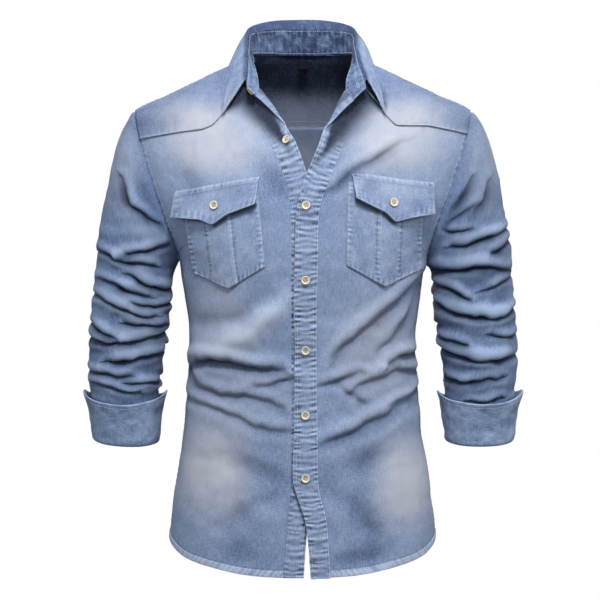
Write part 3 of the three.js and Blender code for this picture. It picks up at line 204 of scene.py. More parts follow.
# pale washed areas: centre x z, half width, half height, strength
FADES_FRONT = [(-119, -108, 58, 42, 1.0), (127, -101, 60, 42, 0.9), (-122, -548, 45, 55, 1.0), (142, -566, 40, 56, 1.0),
               (-110, -340, 38, 46, 0.4), (97, -385, 50, 66, 0.44), (-95, -452, 76, 44, 0.2), (-150, -72, 46, 24, 0.35), (160, -70, 42, 22, 0.25)]
FADES_BACK = [(0, -150, 120, 50, 0.45), (-110, -560, 46, 60, 0.5), (112, -560, 46, 60, 0.5), (0, -70, 120, 24, 0.3)]
FADES_SLEEVE = [(246, -130, 30, 60, 0.30)]


# ------------------------------------------------------------------ helpers
def smooth(e0, e1, v):
    k = np.clip((np.asarray(v, float) - e0) / (e1 - e0), 0, 1)
    return k * k * (3 - 2 * k)


def herm(xk, yk, x):
    """Smooth value through the points of a table, for keys that rise or fall."""
    xk, yk, x = np.asarray(xk, float), np.asarray(yk, float), np.asarray(x, float)
    if xk[-1] < xk[0]:
        xk, yk = xk[::-1], yk[::-1]
    n = len(xk)
    m = np.empty(n)
    m[1:-1] = (yk[2:] - yk[:-2]) / (xk[2:] - xk[:-2])
    m[0] = (yk[1] - yk[0]) / (xk[1] - xk[0])
    m[-1] = (yk[-1] - yk[-2]) / (xk[-1] - xk[-2])
    xc = np.clip(x, xk[0], xk[-1])
    i = np.clip(np.searchsorted(xk, xc, side="right") - 1, 0, n - 2)
    h = xk[i + 1] - xk[i]
    u = (xc - xk[i]) / h
    u2, u3 = u * u, u * u * u
    return (2 * u3 - 3 * u2 + 1) * yk[i] + (u3 - 2 * u2 + u) * h * m[i] + (3 * u2 - 2 * u3) * yk[i + 1] + (u3 - u2) * h * m[i + 1]


def lin(tab, col, a):
    return np.interp(a, tab[:, 0], tab[:, col])


_lattice = {}


def noise2(x, y, seed):
    """Smooth value noise from -1 to 1, one cell per unit."""
    if seed not in _lattice:
        _lattice[seed] = np.random.RandomState(seed).uniform(-1, 1, (128, 128))
    t = _lattice[seed]
    x, y = np.broadcast_arrays(np.asarray(x, float), np.asarray(y, float))
    xi, yi = np.floor(x).astype(int), np.floor(y).astype(int)
    fx, fy = x - xi, y - yi
    fx, fy = fx * fx * fx * (fx * (fx * 6 - 15) + 10), fy * fy * fy * (fy * (fy * 6 - 15) + 10)
    g = lambda a, b: t[a % 128, b % 128]
    return (g(xi, yi) * (1 - fx) + g(xi + 1, yi) * fx) * (1 - fy) + (g(xi, yi + 1) * (1 - fx) + g(xi + 1, yi + 1) * fx) * fy


def pucker(l, seed, pitch=7.0):
    """Irregular puckers along a stitched seam, l in mm."""
    ph = l / pitch + 0.55 * noise2(l / 19.0, 3.3, seed) + 0.3 * noise2(l / 7.0, 9.1, seed + 1)
    return np.sin(2 * np.pi * ph) * (0.65 + 0.45 * noise2(l / 13.0, 5.7, seed + 2))


def armx(z):
    return herm(ARMHOLE[:, 0], ARMHOLE[:, 1], z)


def ring(a, z):
    w, n = herm(BODY[:, 0], BODY[:, 1], z), herm(BODY[:, 0], BODY[:, 4], z)
    s, c = np.sin(np.radians(a)), np.cos(np.radians(a))
    d = np.where(c >= 0, herm(BODY[:, 0], BODY[:, 2], z), herm(BODY[:, 0], BODY[:, 3], z))
    z = np.broadcast_to(z, s.shape)
    return np.stack([w * np.sign(s) * np.abs(s) ** (2 / n), -d * np.sign(c) * np.abs(c) ** (2 / n), z + 0.0], -1)


def angle_at(x, z):
    k = np.clip(np.abs(x) / herm(BODY[:, 0], BODY[:, 1], z), 0, 1)
    return np.sign(x) * np.degrees(np.arcsin(k ** (herm(BODY[:, 0], BODY[:, 4], z) / 2)))


def crush(rows, x, z, seed, wide, under=1.25):
    """Folds of pushed-up cloth: narrow troughs, each under a full ridge that hangs over it.
    Gives how far out the cloth stands, how far down it slides and how much shade to paint into the troughs."""
    wx = x + 3.0 * noise2(x / 30.0, z / 30.0, seed) + 1.4 * noise2(x / 11.0, z / 11.0, seed + 1)
    wz = z + 3.0 * noise2(x / 30.0 + 40, z / 30.0, seed + 2) + 1.4 * noise2(x / 11.0 + 50, z / 11.0, seed + 3)
    out, drop, shade_in_troughs = np.zeros(np.shape(x)), np.zeros(np.shape(x)), np.zeros(np.shape(x))
    for k, (w, d, share, pts) in enumerate(rows):
        p = np.array(pts, float)
        if p[0, 0] > p[-1, 0]:
            p = p[::-1]
        seg = np.diff(p, axis=0)
        ln = np.hypot(seg[:, 0], seg[:, 1])
        cum = np.concatenate([[0], np.cumsum(ln)])
        best, sgn, tt = np.full(np.shape(x), 1e9), np.zeros(np.shape(x)), np.zeros(np.shape(x))
        for i in range(len(seg)):
            t = np.clip(((wx - p[i, 0]) * seg[i, 0] + (wz - p[i, 1]) * seg[i, 1]) / (ln[i] ** 2), 0, 1)
            dx, dz = wx - p[i, 0] - t * seg[i, 0], wz - p[i, 1] - t * seg[i, 1]
            dist = np.hypot(dx, dz)
            up = np.where(seg[i, 0] * dz - seg[i, 1] * dx >= 0, 1.0, -1.0)
            m = dist < best
            best, sgn, tt = np.where(m, dist, best), np.where(m, up, sgn), np.where(m, (cum[i] + t * ln[i]) / cum[-1], tt)
        s = best * sgn
        lap = 1 - smooth(0, 1.0, np.maximum(best / (4.5 * w) - 0.6, 0) * 2)
        taper = np.sin(np.pi * np.clip(0.10 + 0.80 * tt, 0, 1)) ** 0.7 * (0.85 + 0.3 * noise2(tt * 4, k * 3.1, seed + 5))
        if d < 0 or share == 0:
            out += -d * taper * np.exp(-(s / w) ** 2) * 1.0
            continue
        u = s / (w * wide)
        trough = -np.exp(-np.abs(u / np.where(u > 0, 0.55, 1.15)) ** 1.7)
        above = np.exp(-((u - 1.55) / 1.0) ** 2)
        below = np.exp(-((u + 2.1) / 1.3) ** 2)
        amp = d * taper * lap
        out += amp * (trough + (0.35 + 0.5 * share) * above + (0.15 + 0.35 * share) * below)
        drop += amp * 0.85 * np.exp(-((u - 0.95) / 0.9) ** 2)
        # painted shade in the troughs under the ridges
        shade_in_troughs = np.maximum(shade_in_troughs, min(1.0, d / 6.5) * np.clip(taper * 1.15, 0, 1) * lap * np.exp(-np.abs((u + 0.1) / np.where(u > -0.1, 0.6, under)) ** 1.5))
    return out, drop, shade_in_troughs


def torso(a, z, off=0.0, folds=True):
    """Point of the body of the shirt at angle a and level z, moved out by off, with its folds."""
    a, z = np.broadcast_arrays(np.asarray(a, float), np.asarray(z, float))
    p = ring(a, z)
    e = 0.5
    side = np.where(np.abs(a) > 90, 1, -1)
    n = np.cross(ring(a + e, z) - ring(a - e, z), ring(a, z + e) - ring(a, z - e))
    n /= np.linalg.norm(n, axis=-1, keepdims=True) + 1e-9
    n *= np.sign(n[..., 0:1] * p[..., 0:1] + n[..., 1:2] * p[..., 1:2] + 1e-9)
    h, drop = np.zeros(a.shape), np.zeros(a.shape)
    if folds:
        f = np.abs(a) <= 90
        fo, fd, _ = crush(FOLDS_FRONT, p[..., 0], z, 11, BODY_WIDE)
        bo, bd, _ = crush(FOLDS_BACK, p[..., 0], z, 31, BODY_WIDE)
        still = 0.25 + 0.75 * smooth(0, 10, np.abs(np.abs(a) - 90))
        h, drop = np.where(f, fo, bo) * still * BODY_DEPTH, np.where(f, fd, bd) * still * BODY_DEPTH
        h = h + 0.9 * noise2(p[..., 0] / 46, z / 30, 51) + 0.35 * noise2(p[..., 0] / 17, z / 13, 52)
    q = p + n * (np.asarray(off)[..., None] + h[..., None])
    q[..., 2] -= 0.65 * drop
    return q, h


def shade_line(x, z, pts):
    """Painted shade beside a line of rows x z reach: full on the line, none past its reach."""
    p = np.array(pts, float)
    out = np.zeros(np.shape(x))
    for a, b in zip(p[:-1], p[1:]):
        v = b[:2] - a[:2]
        t = np.clip(((x - a[0]) * v[0] + (z - a[1]) * v[1]) / (v @ v), 0, 1)
        d, r = np.hypot(x - a[0] - t * v[0], z - a[1] - t * v[1]), a[2] + (b[2] - a[2]) * t
        out = np.maximum(out, (1 - smooth(0.15, 1.0, d / r)) * smooth(2.5, 15, r))
    return out


# painted shade in the troughs of the front folds
def painted_trough_shade(x, z):
    return 0.56 * crush(FOLDS_FRONT, x, z, 11, BODY_WIDE, 2.2)[2]


def under_collar(x, z):
    """How much painted shade of the collar and of the turned-out strips a point of the fronts gets."""
    xx = x + 2.0 * noise2(x / 16, z / 16, 77)
    return np.maximum(shade_line(xx, z, SHADE_RIGHT), shade_line(xx, z, SHADE_LEFT))


# painted shadow under the lower edge of a pocket flap
def under_flap(x, z, tab):
    edge = np.interp(x, tab[:, 3], tab[:, 4])
    inside = (x > tab[0, 3] - 1) & (x < tab[-1, 3] + 1)
    d = edge - z
    return np.where(inside, smooth(-3, 0.0, d) * (1 - smooth(1.0, 8.5, d)), 0.0)


def on_front(x, z, off=0.0):
    return torso(angle_at(x, z), z, off)


def grid_normals(g, closed=False):
    if closed:
        du = np.roll(g, -1, 1) - np.roll(g, 1, 1)
    else:
        du = np.gradient(g, axis=1)
    dv = np.gradient(g, axis=0)
    n = np.cross(du, dv)
    return n / (np.linalg.norm(n, axis=-1, keepdims=True) + 1e-9)


def arc(g, axis):
    d = np.linalg.norm(np.diff(g, axis=axis), axis=-1)
    z = np.zeros_like(np.take(d, [0], axis=axis))
    return np.concatenate([z, np.cumsum(d, axis=axis)], axis=axis)


# ------------------------------------------------------------------ mesh making
def make_grid(name, g, mat, thickness, attrs=None, closed=False, out=None, inner=None, uv=None):
    """A shell from a grid of outer points (mm). thickness goes inwards. out: a point field the outside faces away from."""
    R, C = g.shape[:2]
    n = grid_normals(g, closed)
    if out is not None:
        flip = np.mean(np.sum(n * (g - out), -1)) < 0
    else:
        flip = False
    verts = (g * MM).reshape(-1, 3)
    cc = C if closed else C - 1
    r, c = np.meshgrid(np.arange(R - 1), np.arange(cc), indexing="ij")
    c2 = (c + 1) % C
    quad = np.stack([r * C + c, r * C + c2, (r + 1) * C + c2, (r + 1) * C + c], -1).reshape(-1, 4)
    if flip:
        quad = quad[:, ::-1]
    me = bpy.data.meshes.new(name)
    me.vertices.add(len(verts))
    me.vertices.foreach_set("co", verts.astype(np.float32).ravel())
    me.loops.add(quad.size)
    me.loops.foreach_set("vertex_index", quad.astype(np.int32).ravel())
    me.polygons.add(len(quad))
    me.polygons.foreach_set("loop_start", (np.arange(len(quad)) * 4).astype(np.int32))
    me.polygons.foreach_set("use_smooth", np.ones(len(quad), bool))
    u, v = uv if uv is not None else (arc(g, 1), arc(g, 0))
    layer = me.uv_layers.new(name="UVMap")
    uvv = np.stack([u, v], -1).reshape(-1, 2)[quad.ravel()] * MM
    if closed:   # the last column of faces runs on past the seam
        width = (u.max() + np.linalg.norm(g[0, 0] - g[0, -1])) * MM
        uq = uvv.reshape(-1, 4, 2)
        last = (c.ravel() == C - 1)
        for k in range(4):
            sel = last & (quad[:, k] % C == 0)
            uq[sel, k, 0] = width
        uvv = uq.reshape(-1, 2)
    layer.data.foreach_set("uv", uvv.astype(np.float32).ravel())
    for key, val in (attrs or {}).items():
        at = me.attributes.new(key, "FLOAT", "POINT")
        at.data.foreach_set("value", np.broadcast_to(val, (R, C)).astype(np.float32).ravel())
    me.update()
    me.validate()
    ob = bpy.data.objects.new(name + "_cloth", me)
    bpy.context.scene.collection.objects.link(ob)
    me.materials.append(mat)
    if inner is not None:
        me.materials.append(inner)
    if thickness:
        so = ob.modifiers.new("ply", "SOLIDIFY")
        so.thickness = thickness * MM
        so.offset = -1
        so.use_even_offset = False
        if inner is not None:
            so.material_offset = 1
    return ob


def make_faces(name, verts, faces, mat, smooth_faces=True):
    me = bpy.data.meshes.new(name)
    me.from_pydata([tuple(v) for v in verts], [], [tuple(f) for f in faces])
    me.polygons.foreach_set("use_smooth", [smooth_faces] * len(me.polygons))
    me.materials.append(mat)
    me.update()
    ob = bpy.data.objects.new(name, me)
    bpy.context.scene.collection.objects.link(ob)
    return ob


def sample(g, r, c):
    """Points of a grid at fractional row and column numbers."""
    r, c = np.broadcast_arrays(np.asarray(r, float), np.asarray(c, float))
    r, c = np.clip(r, 0, g.shape[0] - 1.001), np.clip(c, 0, g.shape[1] - 1.001)
    i, j = r.astype(int), c.astype(int)
    fr, fc = (r - i)[..., None], (c - j)[..., None]
    return (g[i, j] * (1 - fr) + g[i + 1, j] * fr) * (1 - fc) + (g[i, j + 1] * (1 - fr) + g[i + 1, j + 1] * fr) * fc


class Stitches:
    """Runs of thread capsules, joined into one mesh for each name."""

    def __init__(self):
        self.sets = {}

    def line(self, name, pts, normals, pitch=3.0, share=0.72, r=0.34, lift=0.22):
        pts, normals = np.asarray(pts, float), np.asarray(normals, float)
        d = np.concatenate([[0], np.cumsum(np.linalg.norm(np.diff(pts, axis=0), axis=1))])
        if d[-1] < pitch:
            return
        n = max(1, int(d[-1] / pitch))
        p = d[-1] / n
        a, b = np.arange(n) * p + p * (1 - share) / 2, np.arange(n) * p + p * (1 + share) / 2
        at = lambda s: np.stack([np.interp(s, d, pts[:, k]) for k in range(3)], -1)
        nn = np.stack([np.interp((a + b) / 2, d, normals[:, k]) for k in range(3)], -1)
        nn /= np.linalg.norm(nn, axis=1, keepdims=True) + 1e-9
        pa, pb = at(a), at(b)
        t = pb - pa
        t /= np.linalg.norm(t, axis=1, keepdims=True) + 1e-9
        s = np.cross(t, nn)
        s /= np.linalg.norm(s, axis=1, keepdims=True) + 1e-9
        self.sets.setdefault(name, []).append((pa + nn * (lift - 0.2), pb + nn * (lift - 0.2), (pa + pb) / 2 + nn * (lift + 0.12), nn, s, r))

    def build(self, name, mat):
        verts, faces = [], []
        base = 0
        K = 4
        ang = np.arange(K) * 2 * np.pi / K
        for pa, pb, pm, nn, s, r in self.sets.get(name, []):
            for i in range(len(pa)):
                pos = [pa[i], pa[i] * 0.6 + pm[i] * 0.4, pb[i] * 0.6 + pm[i] * 0.4, pb[i]]
                rad = [0.35 * r, r, r, 0.35 * r]
                for q, rr in zip(pos, rad):
                    verts.append(q[None] + rr * (np.cos(ang)[:, None] * s[i] + np.sin(ang)[:, None] * nn[i]))
                for j in range(3):
                    for k in range(K):
                        faces.append((base + j * K + k, base + j * K + (k + 1) % K, base + (j + 1) * K + (k + 1) % K, base + (j + 1) * K + k))
                faces.append(tuple(base + k for k in range(K))[::-1])
                faces.append(tuple(base + 3 * K + k for k in range(K)))
                base += 4 * K
        if not verts:
            return None
        return make_faces(name, np.concatenate(verts) * MM, faces, mat)


stitches = Stitches()


def seam_on(name, g, rr, cc, out_sign=1, **kw):
    n = grid_normals(g)
    stitches.line(name, sample(g, rr, cc), out_sign * sample(n, rr, cc), **kw)


# ------------------------------------------------------------------ materials
def srgb(r, g, b):
    f = lambda v: v / 12.92 if v <= 0.04045 else ((v + 0.055) / 1.055) ** 2.4
    return (f(r / 255), f(g / 255), f(b / 255), 1.0)


def denim(name, base, pale, deep, ridge_wear_and_trough_shade=1.0, streak=1.0, rise=None):
    mat = bpy.data.materials.new(name)
    mat.use_nodes = True
    nt = mat.node_tree
    nt.nodes.clear()
    N = lambda t, **kw: _node(nt, t, **kw)
    L = nt.links.new
    out, bsdf = N("ShaderNodeOutputMaterial"), N("ShaderNodeBsdfPrincipled")
    L(bsdf.outputs[0], out.inputs[0])
    uv = N("ShaderNodeUVMap", uv_map="UVMap")
    tc = N("ShaderNodeTexCoord")

    def mapped(src, scale, rot=0.0):
        m = N("ShaderNodeMapping")
        m.inputs["Scale"].default_value = scale
        m.inputs["Rotation"].default_value = (0, 0, rot)
        L(src, m.inputs["Vector"])
        return m.outputs[0]

    def noise(vec, detail=2.0, rough=0.5):
        n = N("ShaderNodeTexNoise")
        n.inputs["Scale"].default_value = 1.0
        n.inputs["Detail"].default_value = detail
        n.inputs["Roughness"].default_value = rough
        L(vec, n.inputs["Vector"])
        return n.outputs["Fac"]

    def math_(op, a, b=None, c=None, clamp=False):
        m = N("ShaderNodeMath", operation=op, use_clamp=clamp)
        for i, v in enumerate((a, b, c)):
            if v is None:
                continue
            if isinstance(v, (int, float)):
                m.inputs[i].default_value = v
            else:
                L(v, m.inputs[i])
        return m.outputs[0]

    def mix(fac, a, b, mode="MIX"):
        m = N("ShaderNodeMix", data_type="RGBA", blend_type=mode)
        for i, v in ((0, fac), (6, a), (7, b)):
            if isinstance(v, (int, float)):
                m.inputs[i].default_value = v
            elif isinstance(v, tuple):
                m.inputs[i].default_value = v
            else:
                L(v, m.inputs[i])
        return m.outputs[2]

    def attr(key):
        return N("ShaderNodeAttribute", attribute_name=key).outputs["Fac"]

    fade, fold, edge, depth = attr("fade"), attr("fold"), attr("edge"), attr("tone")
    warp = noise(mapped(uv.outputs[0], (900, 90, 1)), 2.0, 0.6)          # yarns along the length
    weft = noise(mapped(uv.outputs[0], (110, 800, 1)), 2.0, 0.6)         # yarns across
    grain = noise(mapped(uv.outputs[0], (420, 420, 1)), 3.0, 0.65)
    mott = noise(mapped(uv.outputs[0], (70, 55, 1)), 4.0, 0.6)
    cloud = noise(mapped(tc.outputs["Object"], (14, 14, 14)), 3.0, 0.5)
    tw = N("ShaderNodeTexWave", wave_type="BANDS", bands_direction="X", wave_profile="SIN")
    tw.inputs["Scale"].default_value = 1.0
    tw.inputs["Distortion"].default_value = 0.6
    tw.inputs["Detail"].default_value = 1.0
    tw.inputs["Detail Scale"].default_value = 1.5
    L(mapped(uv.outputs[0], (330, 330, 1), math.radians(27)), tw.inputs["Vector"])
    twill = tw.outputs["Fac"]
    # tone: 0 deep indigo, 0.5 the washed base, 1 pale
    t = math_("MULTIPLY_ADD", math_("SUBTRACT", warp, 0.5), 0.72 * streak, 0.5)
    t = math_("MULTIPLY_ADD", math_("SUBTRACT", weft, 0.5), 0.46 * streak, t)
    t = math_("MULTIPLY_ADD", math_("SUBTRACT", grain, 0.5), 0.55 * streak, t)
    t = math_("MULTIPLY_ADD", math_("SUBTRACT", mott, 0.5), 0.26, t)
    t = math_("MULTIPLY_ADD", math_("SUBTRACT", cloud, 0.5), 0.30, t)
    t = math_("MULTIPLY_ADD", math_("SUBTRACT", twill, 0.5), 0.14, t)
    t = math_("MULTIPLY_ADD", fold, 0.062 * ridge_wear_and_trough_shade, t)                   # paler rubbed ridges (wear) and darker troughs, partly painted shade
    t = math_("ADD", t, depth)
    if rise:                                                             # painted shade that lightens from level rise[0] down to rise[1]
        sep = N("ShaderNodeSeparateXYZ")
        L(tc.outputs["Object"], sep.inputs[0])
        lift = math_("DIVIDE", math_("SUBTRACT", sep.outputs[2], rise[0]), rise[1] - rise[0], clamp=True)
        t = math_("MULTIPLY_ADD", lift, rise[2], t)
    worn = math_("SUBTRACT", 1.0, math_("DIVIDE", edge, 1.6), clamp=True)
    t = math_("MULTIPLY_ADD", math_("MULTIPLY", worn, math_("MULTIPLY_ADD", grain, 1.2, 0.1)), 0.42, t)
    low = mix(math_("MULTIPLY", t, 2.0, clamp=True), deep, base)
    col = mix(math_("MULTIPLY_ADD", t, 2.0, -1.0, clamp=True), low, pale)
    wash = math_("MULTIPLY", fade, math_("MULTIPLY_ADD", mott, 0.5, 0.72), clamp=True)
    washed = mix(math_("MULTIPLY_ADD", math_("SUBTRACT", grain, 0.5), 0.6, 0.5, clamp=True), srgb(158, 163, 177), srgb(188, 190, 198))
    col = mix(wash, col, washed)
    # painted shade: the shade attribute darkens the colour towards dark navy in fold troughs, under the collar, strips
    # and flaps
    painted_shade_amount = math_("MULTIPLY", attr("shade"), math_("MULTIPLY_ADD", grain, 0.3, 0.85), clamp=True)
    col = mix(painted_shade_amount, col, srgb(20, 27, 46))
    L(col, bsdf.inputs["Base Color"])
    rough = math_("MULTIPLY_ADD", grain, 0.12, 0.80)
    L(rough, bsdf.inputs["Roughness"])
    bsdf.inputs["Specular IOR Level"].default_value = 0.22
    bsdf.inputs["Sheen Weight"].default_value = 0.12
    bsdf.inputs["Sheen Roughness"].default_value = 0.45
    bsdf.inputs["Sheen Tint"].default_value = (0.85, 0.9, 1.0, 1.0)
    h = math_("ADD", math_("MULTIPLY", twill, 0.5), math_("ADD", math_("MULTIPLY", warp, 0.7), math_("MULTIPLY", grain, 0.8)))
    bump = N("ShaderNodeBump")
    bump.inputs["Strength"].default_value = 0.35
    bump.inputs["Distance"].default_value = 0.0004
    L(h, bump.inputs["Height"])
    L(bump.outputs[0], bsdf.inputs["Normal"])
    return mat


def _node(nt, t, **kw):
    n = nt.nodes.new(t)
    for k, v in kw.items():
        setattr(n, k, v)
    return n


BASE, PALE, DEEP = srgb(122, 140, 171), srgb(168, 179, 200), srgb(60, 75, 108)
denim_body = denim("denim_body", BASE, PALE, DEEP)
denim_sleeve = denim("denim_sleeve", srgb(92, 112, 146), srgb(144, 161, 190), srgb(30, 41, 70), ridge_wear_and_trough_shade=1.6)
# inner faces: darker than the outer denim, painted shade of the shirt's inside
denim_inside_painted_dark = denim("denim_inside_painted_dark", srgb(68, 90, 128), srgb(102, 124, 160), srgb(40, 55, 88), ridge_wear_and_trough_shade=0.5)
denim_cuff = denim("denim_cuff", srgb(118, 138, 170), srgb(158, 173, 198), srgb(62, 80, 114), streak=1.25)
# inside of the back yoke: painted shade, dark navy at the neck and lighter lower down
denim_neck_painted_shade = denim("denim_neck_painted_shade", srgb(20, 27, 46), srgb(68, 90, 126), srgb(8, 12, 23), ridge_wear_and_trough_shade=0.3, rise=(-0.03, -0.08, 0.6))
denim_collar = denim("denim_collar", srgb(106, 127, 160), srgb(150, 166, 193), srgb(36, 48, 76), ridge_wear_and_trough_shade=1.0, streak=0.8)


def thread(name, a, b):
    mat = bpy.data.materials.new(name)
    mat.use_nodes = True
    nt = mat.node_tree
    bsdf = nt.nodes["Principled BSDF"]
    tc = _node(nt, "ShaderNodeTexCoord")
    no = _node(nt, "ShaderNodeTexNoise")
    no.inputs["Scale"].default_value = 240.0
    nt.links.new(tc.outputs["Object"], no.inputs["Vector"])
    mx = _node(nt, "ShaderNodeMix", data_type="RGBA")
    mx.inputs[6].default_value, mx.inputs[7].default_value = a, b
    nt.links.new(no.outputs["Fac"], mx.inputs[0])
    nt.links.new(mx.outputs[2], bsdf.inputs["Base Color"])
    bsdf.inputs["Roughness"].default_value = 0.7
    bump = _node(nt, "ShaderNodeBump")
    bump.inputs["Strength"].default_value = 0.4
    bump.inputs["Distance"].default_value = 0.0002
    nt.links.new(no.outputs["Fac"], bump.inputs["Height"])
    nt.links.new(bump.outputs[0], bsdf.inputs["Normal"])
    return mat


thread_pale = thread("thread_pale", srgb(150, 166, 196), srgb(190, 200, 218))
thread_brown = thread("thread_brown", srgb(74, 54, 38), srgb(104, 80, 58))


def keep(ob, node):
    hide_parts(node)
    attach(ob, "root")
    return ob


def fade_at(rows, x, z):
    f = np.zeros(np.shape(x))
    for cx, cz, rx, rz, s in rows:
        d = ((x - cx) / rx) ** 2 + ((z - cz) / rz) ** 2
        f = f + s * np.exp(-0.75 * d ** 1.4)
    f = f * (0.95 + 0.16 * noise2(x / 30, z / 22, 71) + 0.12 * noise2(x / 9, z / 14, 72))
    return np.clip(f, 0, 0.95)


# ---- fronts
def front_grid(side, tab):
    nl, nu, nc = 152, 92, 96
    s = np.linspace(0, 1, nc)[None, :]
    low = tab[:12]
    k = np.concatenate([np.linspace(0, 0.035, 16)[:-1], np.linspace(0.035, 1, nl - 15)])[:, None]
    zj = -689 + k * (489)
    xj = herm(low[:, 1], low[:, 0], zj) - side * 2.0
    aj = angle_at(xj, zj)
    a = aj + (side * 90.0 - aj) * s
    z0 = herm(HEM[:, 0], HEM[:, 1], np.abs(a))
    z1 = -200 + (ARM_LOW - 6 + 200) * s
    z = z0 + (z1 - z0) * k
    # the upper part, from placket, neck and armhole
    jx = np.concatenate([[herm(low[:, 1], low[:, 0], -200.0)], tab[11:, 0], side * NECK_FRONT[1:, 0]])
    jz = np.concatenate([[-200.0], tab[11:, 1], NECK_FRONT[1:, 1]])
    idx = np.arange(len(jx))
    v = np.linspace(0, 1, nu + 1)[1:, None]
    X, Z = herm(idx, jx, v * idx[-1]) - side * 2.0 * (1 - smooth(0.5, 0.62, v)), herm(idx, jz, v * idx[-1])
    zA = ARM_LOW - 6 + (ARM_TOP - ARM_LOW + 6) * v ** 0.9
    aA = np.where(zA < ARM_LOW, side * 90.0, angle_at(side * armx(zA), zA))
    aJ = angle_at(X, Z)
    aJ = np.where(v > 0.999, side * 90.0, aJ)
    a2, z2 = aJ + (aA - aJ) * s, Z + (zA - Z) * s
    a2 = np.where(v > 0.999, side * 90.0, a2)
    A, Zz = np.concatenate([a, a2]), np.concatenate([z, z2])
    return A, Zz, nl


def seam_dist(g):
    """Distances from the last column, the first column and the first row of a grid, in mm."""
    u, v = arc(g, 1), arc(g, 0)
    return u[:, -1:] - u, u, v, v[-1:, :] - v


def edge_dist(g, cols=26):
    """Distance in mm of the last columns of a grid from the line of its last column."""
    p, a, b = g[:, -cols:], g[:-1, -1], g[1:, -1]
    d = np.full(p.shape[:2], 1e9)
    for u, v in zip(a, b):
        e = v - u
        t = np.clip(((p - u) @ e) / (e @ e + 1e-9), 0, 1)
        d = np.minimum(d, np.linalg.norm(p - u - t[..., None] * e, axis=-1))
    return d


def dress_front(side, tab, name):
    A, Z, nl = front_grid(side, tab)
    g, h = torso(A, Z)
    n = grid_normals(g) * side
    dS, dJ, dH, dT = seam_dist(g)
    near = edge_dist(g)
    dS = dS.copy()
    dS[:, -near.shape[1]:] = np.minimum(dS[:, -near.shape[1]:], near)
    l = arc(g, 0)
    w = arc(g, 1)
    arm = smooth(nl - 12, nl + 6, np.arange(g.shape[0]))[:, None]
    p = 0.7 * pucker(l, 101 + side, 8.5) * np.exp(-((dS - 3) / 6.0) ** 2) * (0.6 + 0.7 * arm)
    p = p + 0.35 * pucker(l, 111 + side, 6.5) * np.exp(-dJ / 7.0)
    p = p + (0.3 * arm - 0.8) * np.exp(-(dS / 2.2) ** 2)
    hem = smooth(9.5, 8.0, dH)
    p = p + hem * 0.7 + 0.55 * pucker(w + 0.7 * dH, 121 + side, 7.5) * np.exp(-((dH - 7.0) / 5.0) ** 2) - 0.5 * np.exp(-((dH - 8.6) / 1.1) ** 2)
    g = g + n * p[..., None]
    edge = np.minimum(np.minimum(dH, 60), 60)
    seamy = np.exp(-dS / 5.0) * 0.12 - 0.06 * np.exp(-(dS / 1.6) ** 2) + (0.1 + 0.18 * arm) * pucker(l, 101 + side, 8.5) * np.exp(-((dS - 3) / 5.0) ** 2)
    seamy = seamy + 0.5 * np.exp(-((dH - 4.5) / 5) ** 2) * (1.0 + pucker(w + 0.7 * dH, 121 + side, 7.5)) - 0.2 * np.exp(-((dH - 10) / 1.5) ** 2)
    x_, z_ = g[..., 0], g[..., 2]
    # painted shade: fold troughs, under the collar and strips, under the flap, and along the side seam under the arm
    shade = np.maximum(np.maximum(painted_trough_shade(x_, z_), 0.93 * under_collar(x_, z_)), 0.55 * under_flap(x_, z_, FLAP_RIGHT if side < 0 else FLAP_LEFT))
    shade = np.maximum(shade, 0.45 * np.exp(-dS / 3.0) * (1 - arm))
    ob = make_grid(name, g, denim_body, 1.1, {"fade": fade_at(FADES_FRONT, g[..., 0], g[..., 2]), "fold": h, "edge": edge, "tone": seamy, "shade": shade}, out=np.array((0, 0, -400.0)), inner=denim_inside_painted_dark)
    keep(ob, name)
    gn = grid_normals(g) * side
    R = g.shape[0]
    # hem stitching, at 8 mm
    rr = np.interp(8.0, dH[:, 40], np.arange(R))
    cc = np.linspace(0, g.shape[1] - 1, 160)
    stitches.line("stitches_front", sample(g, rr, cc), sample(gn, rr, cc))
    # armhole top stitching, 7 mm inside the seam
    rows = np.arange(nl + 4, R - 2)
    ccol = np.array([np.interp(-6.5, -dS[r], np.arange(g.shape[1])) for r in rows])
    stitches.line("stitches_front", sample(g, rows, ccol), sample(gn, rows, ccol))
    return g


g_front_left = dress_front(1, TOP_PLACKET, "front_left")
g_front_right = dress_front(-1, UNDER_PLACKET, "front_right")


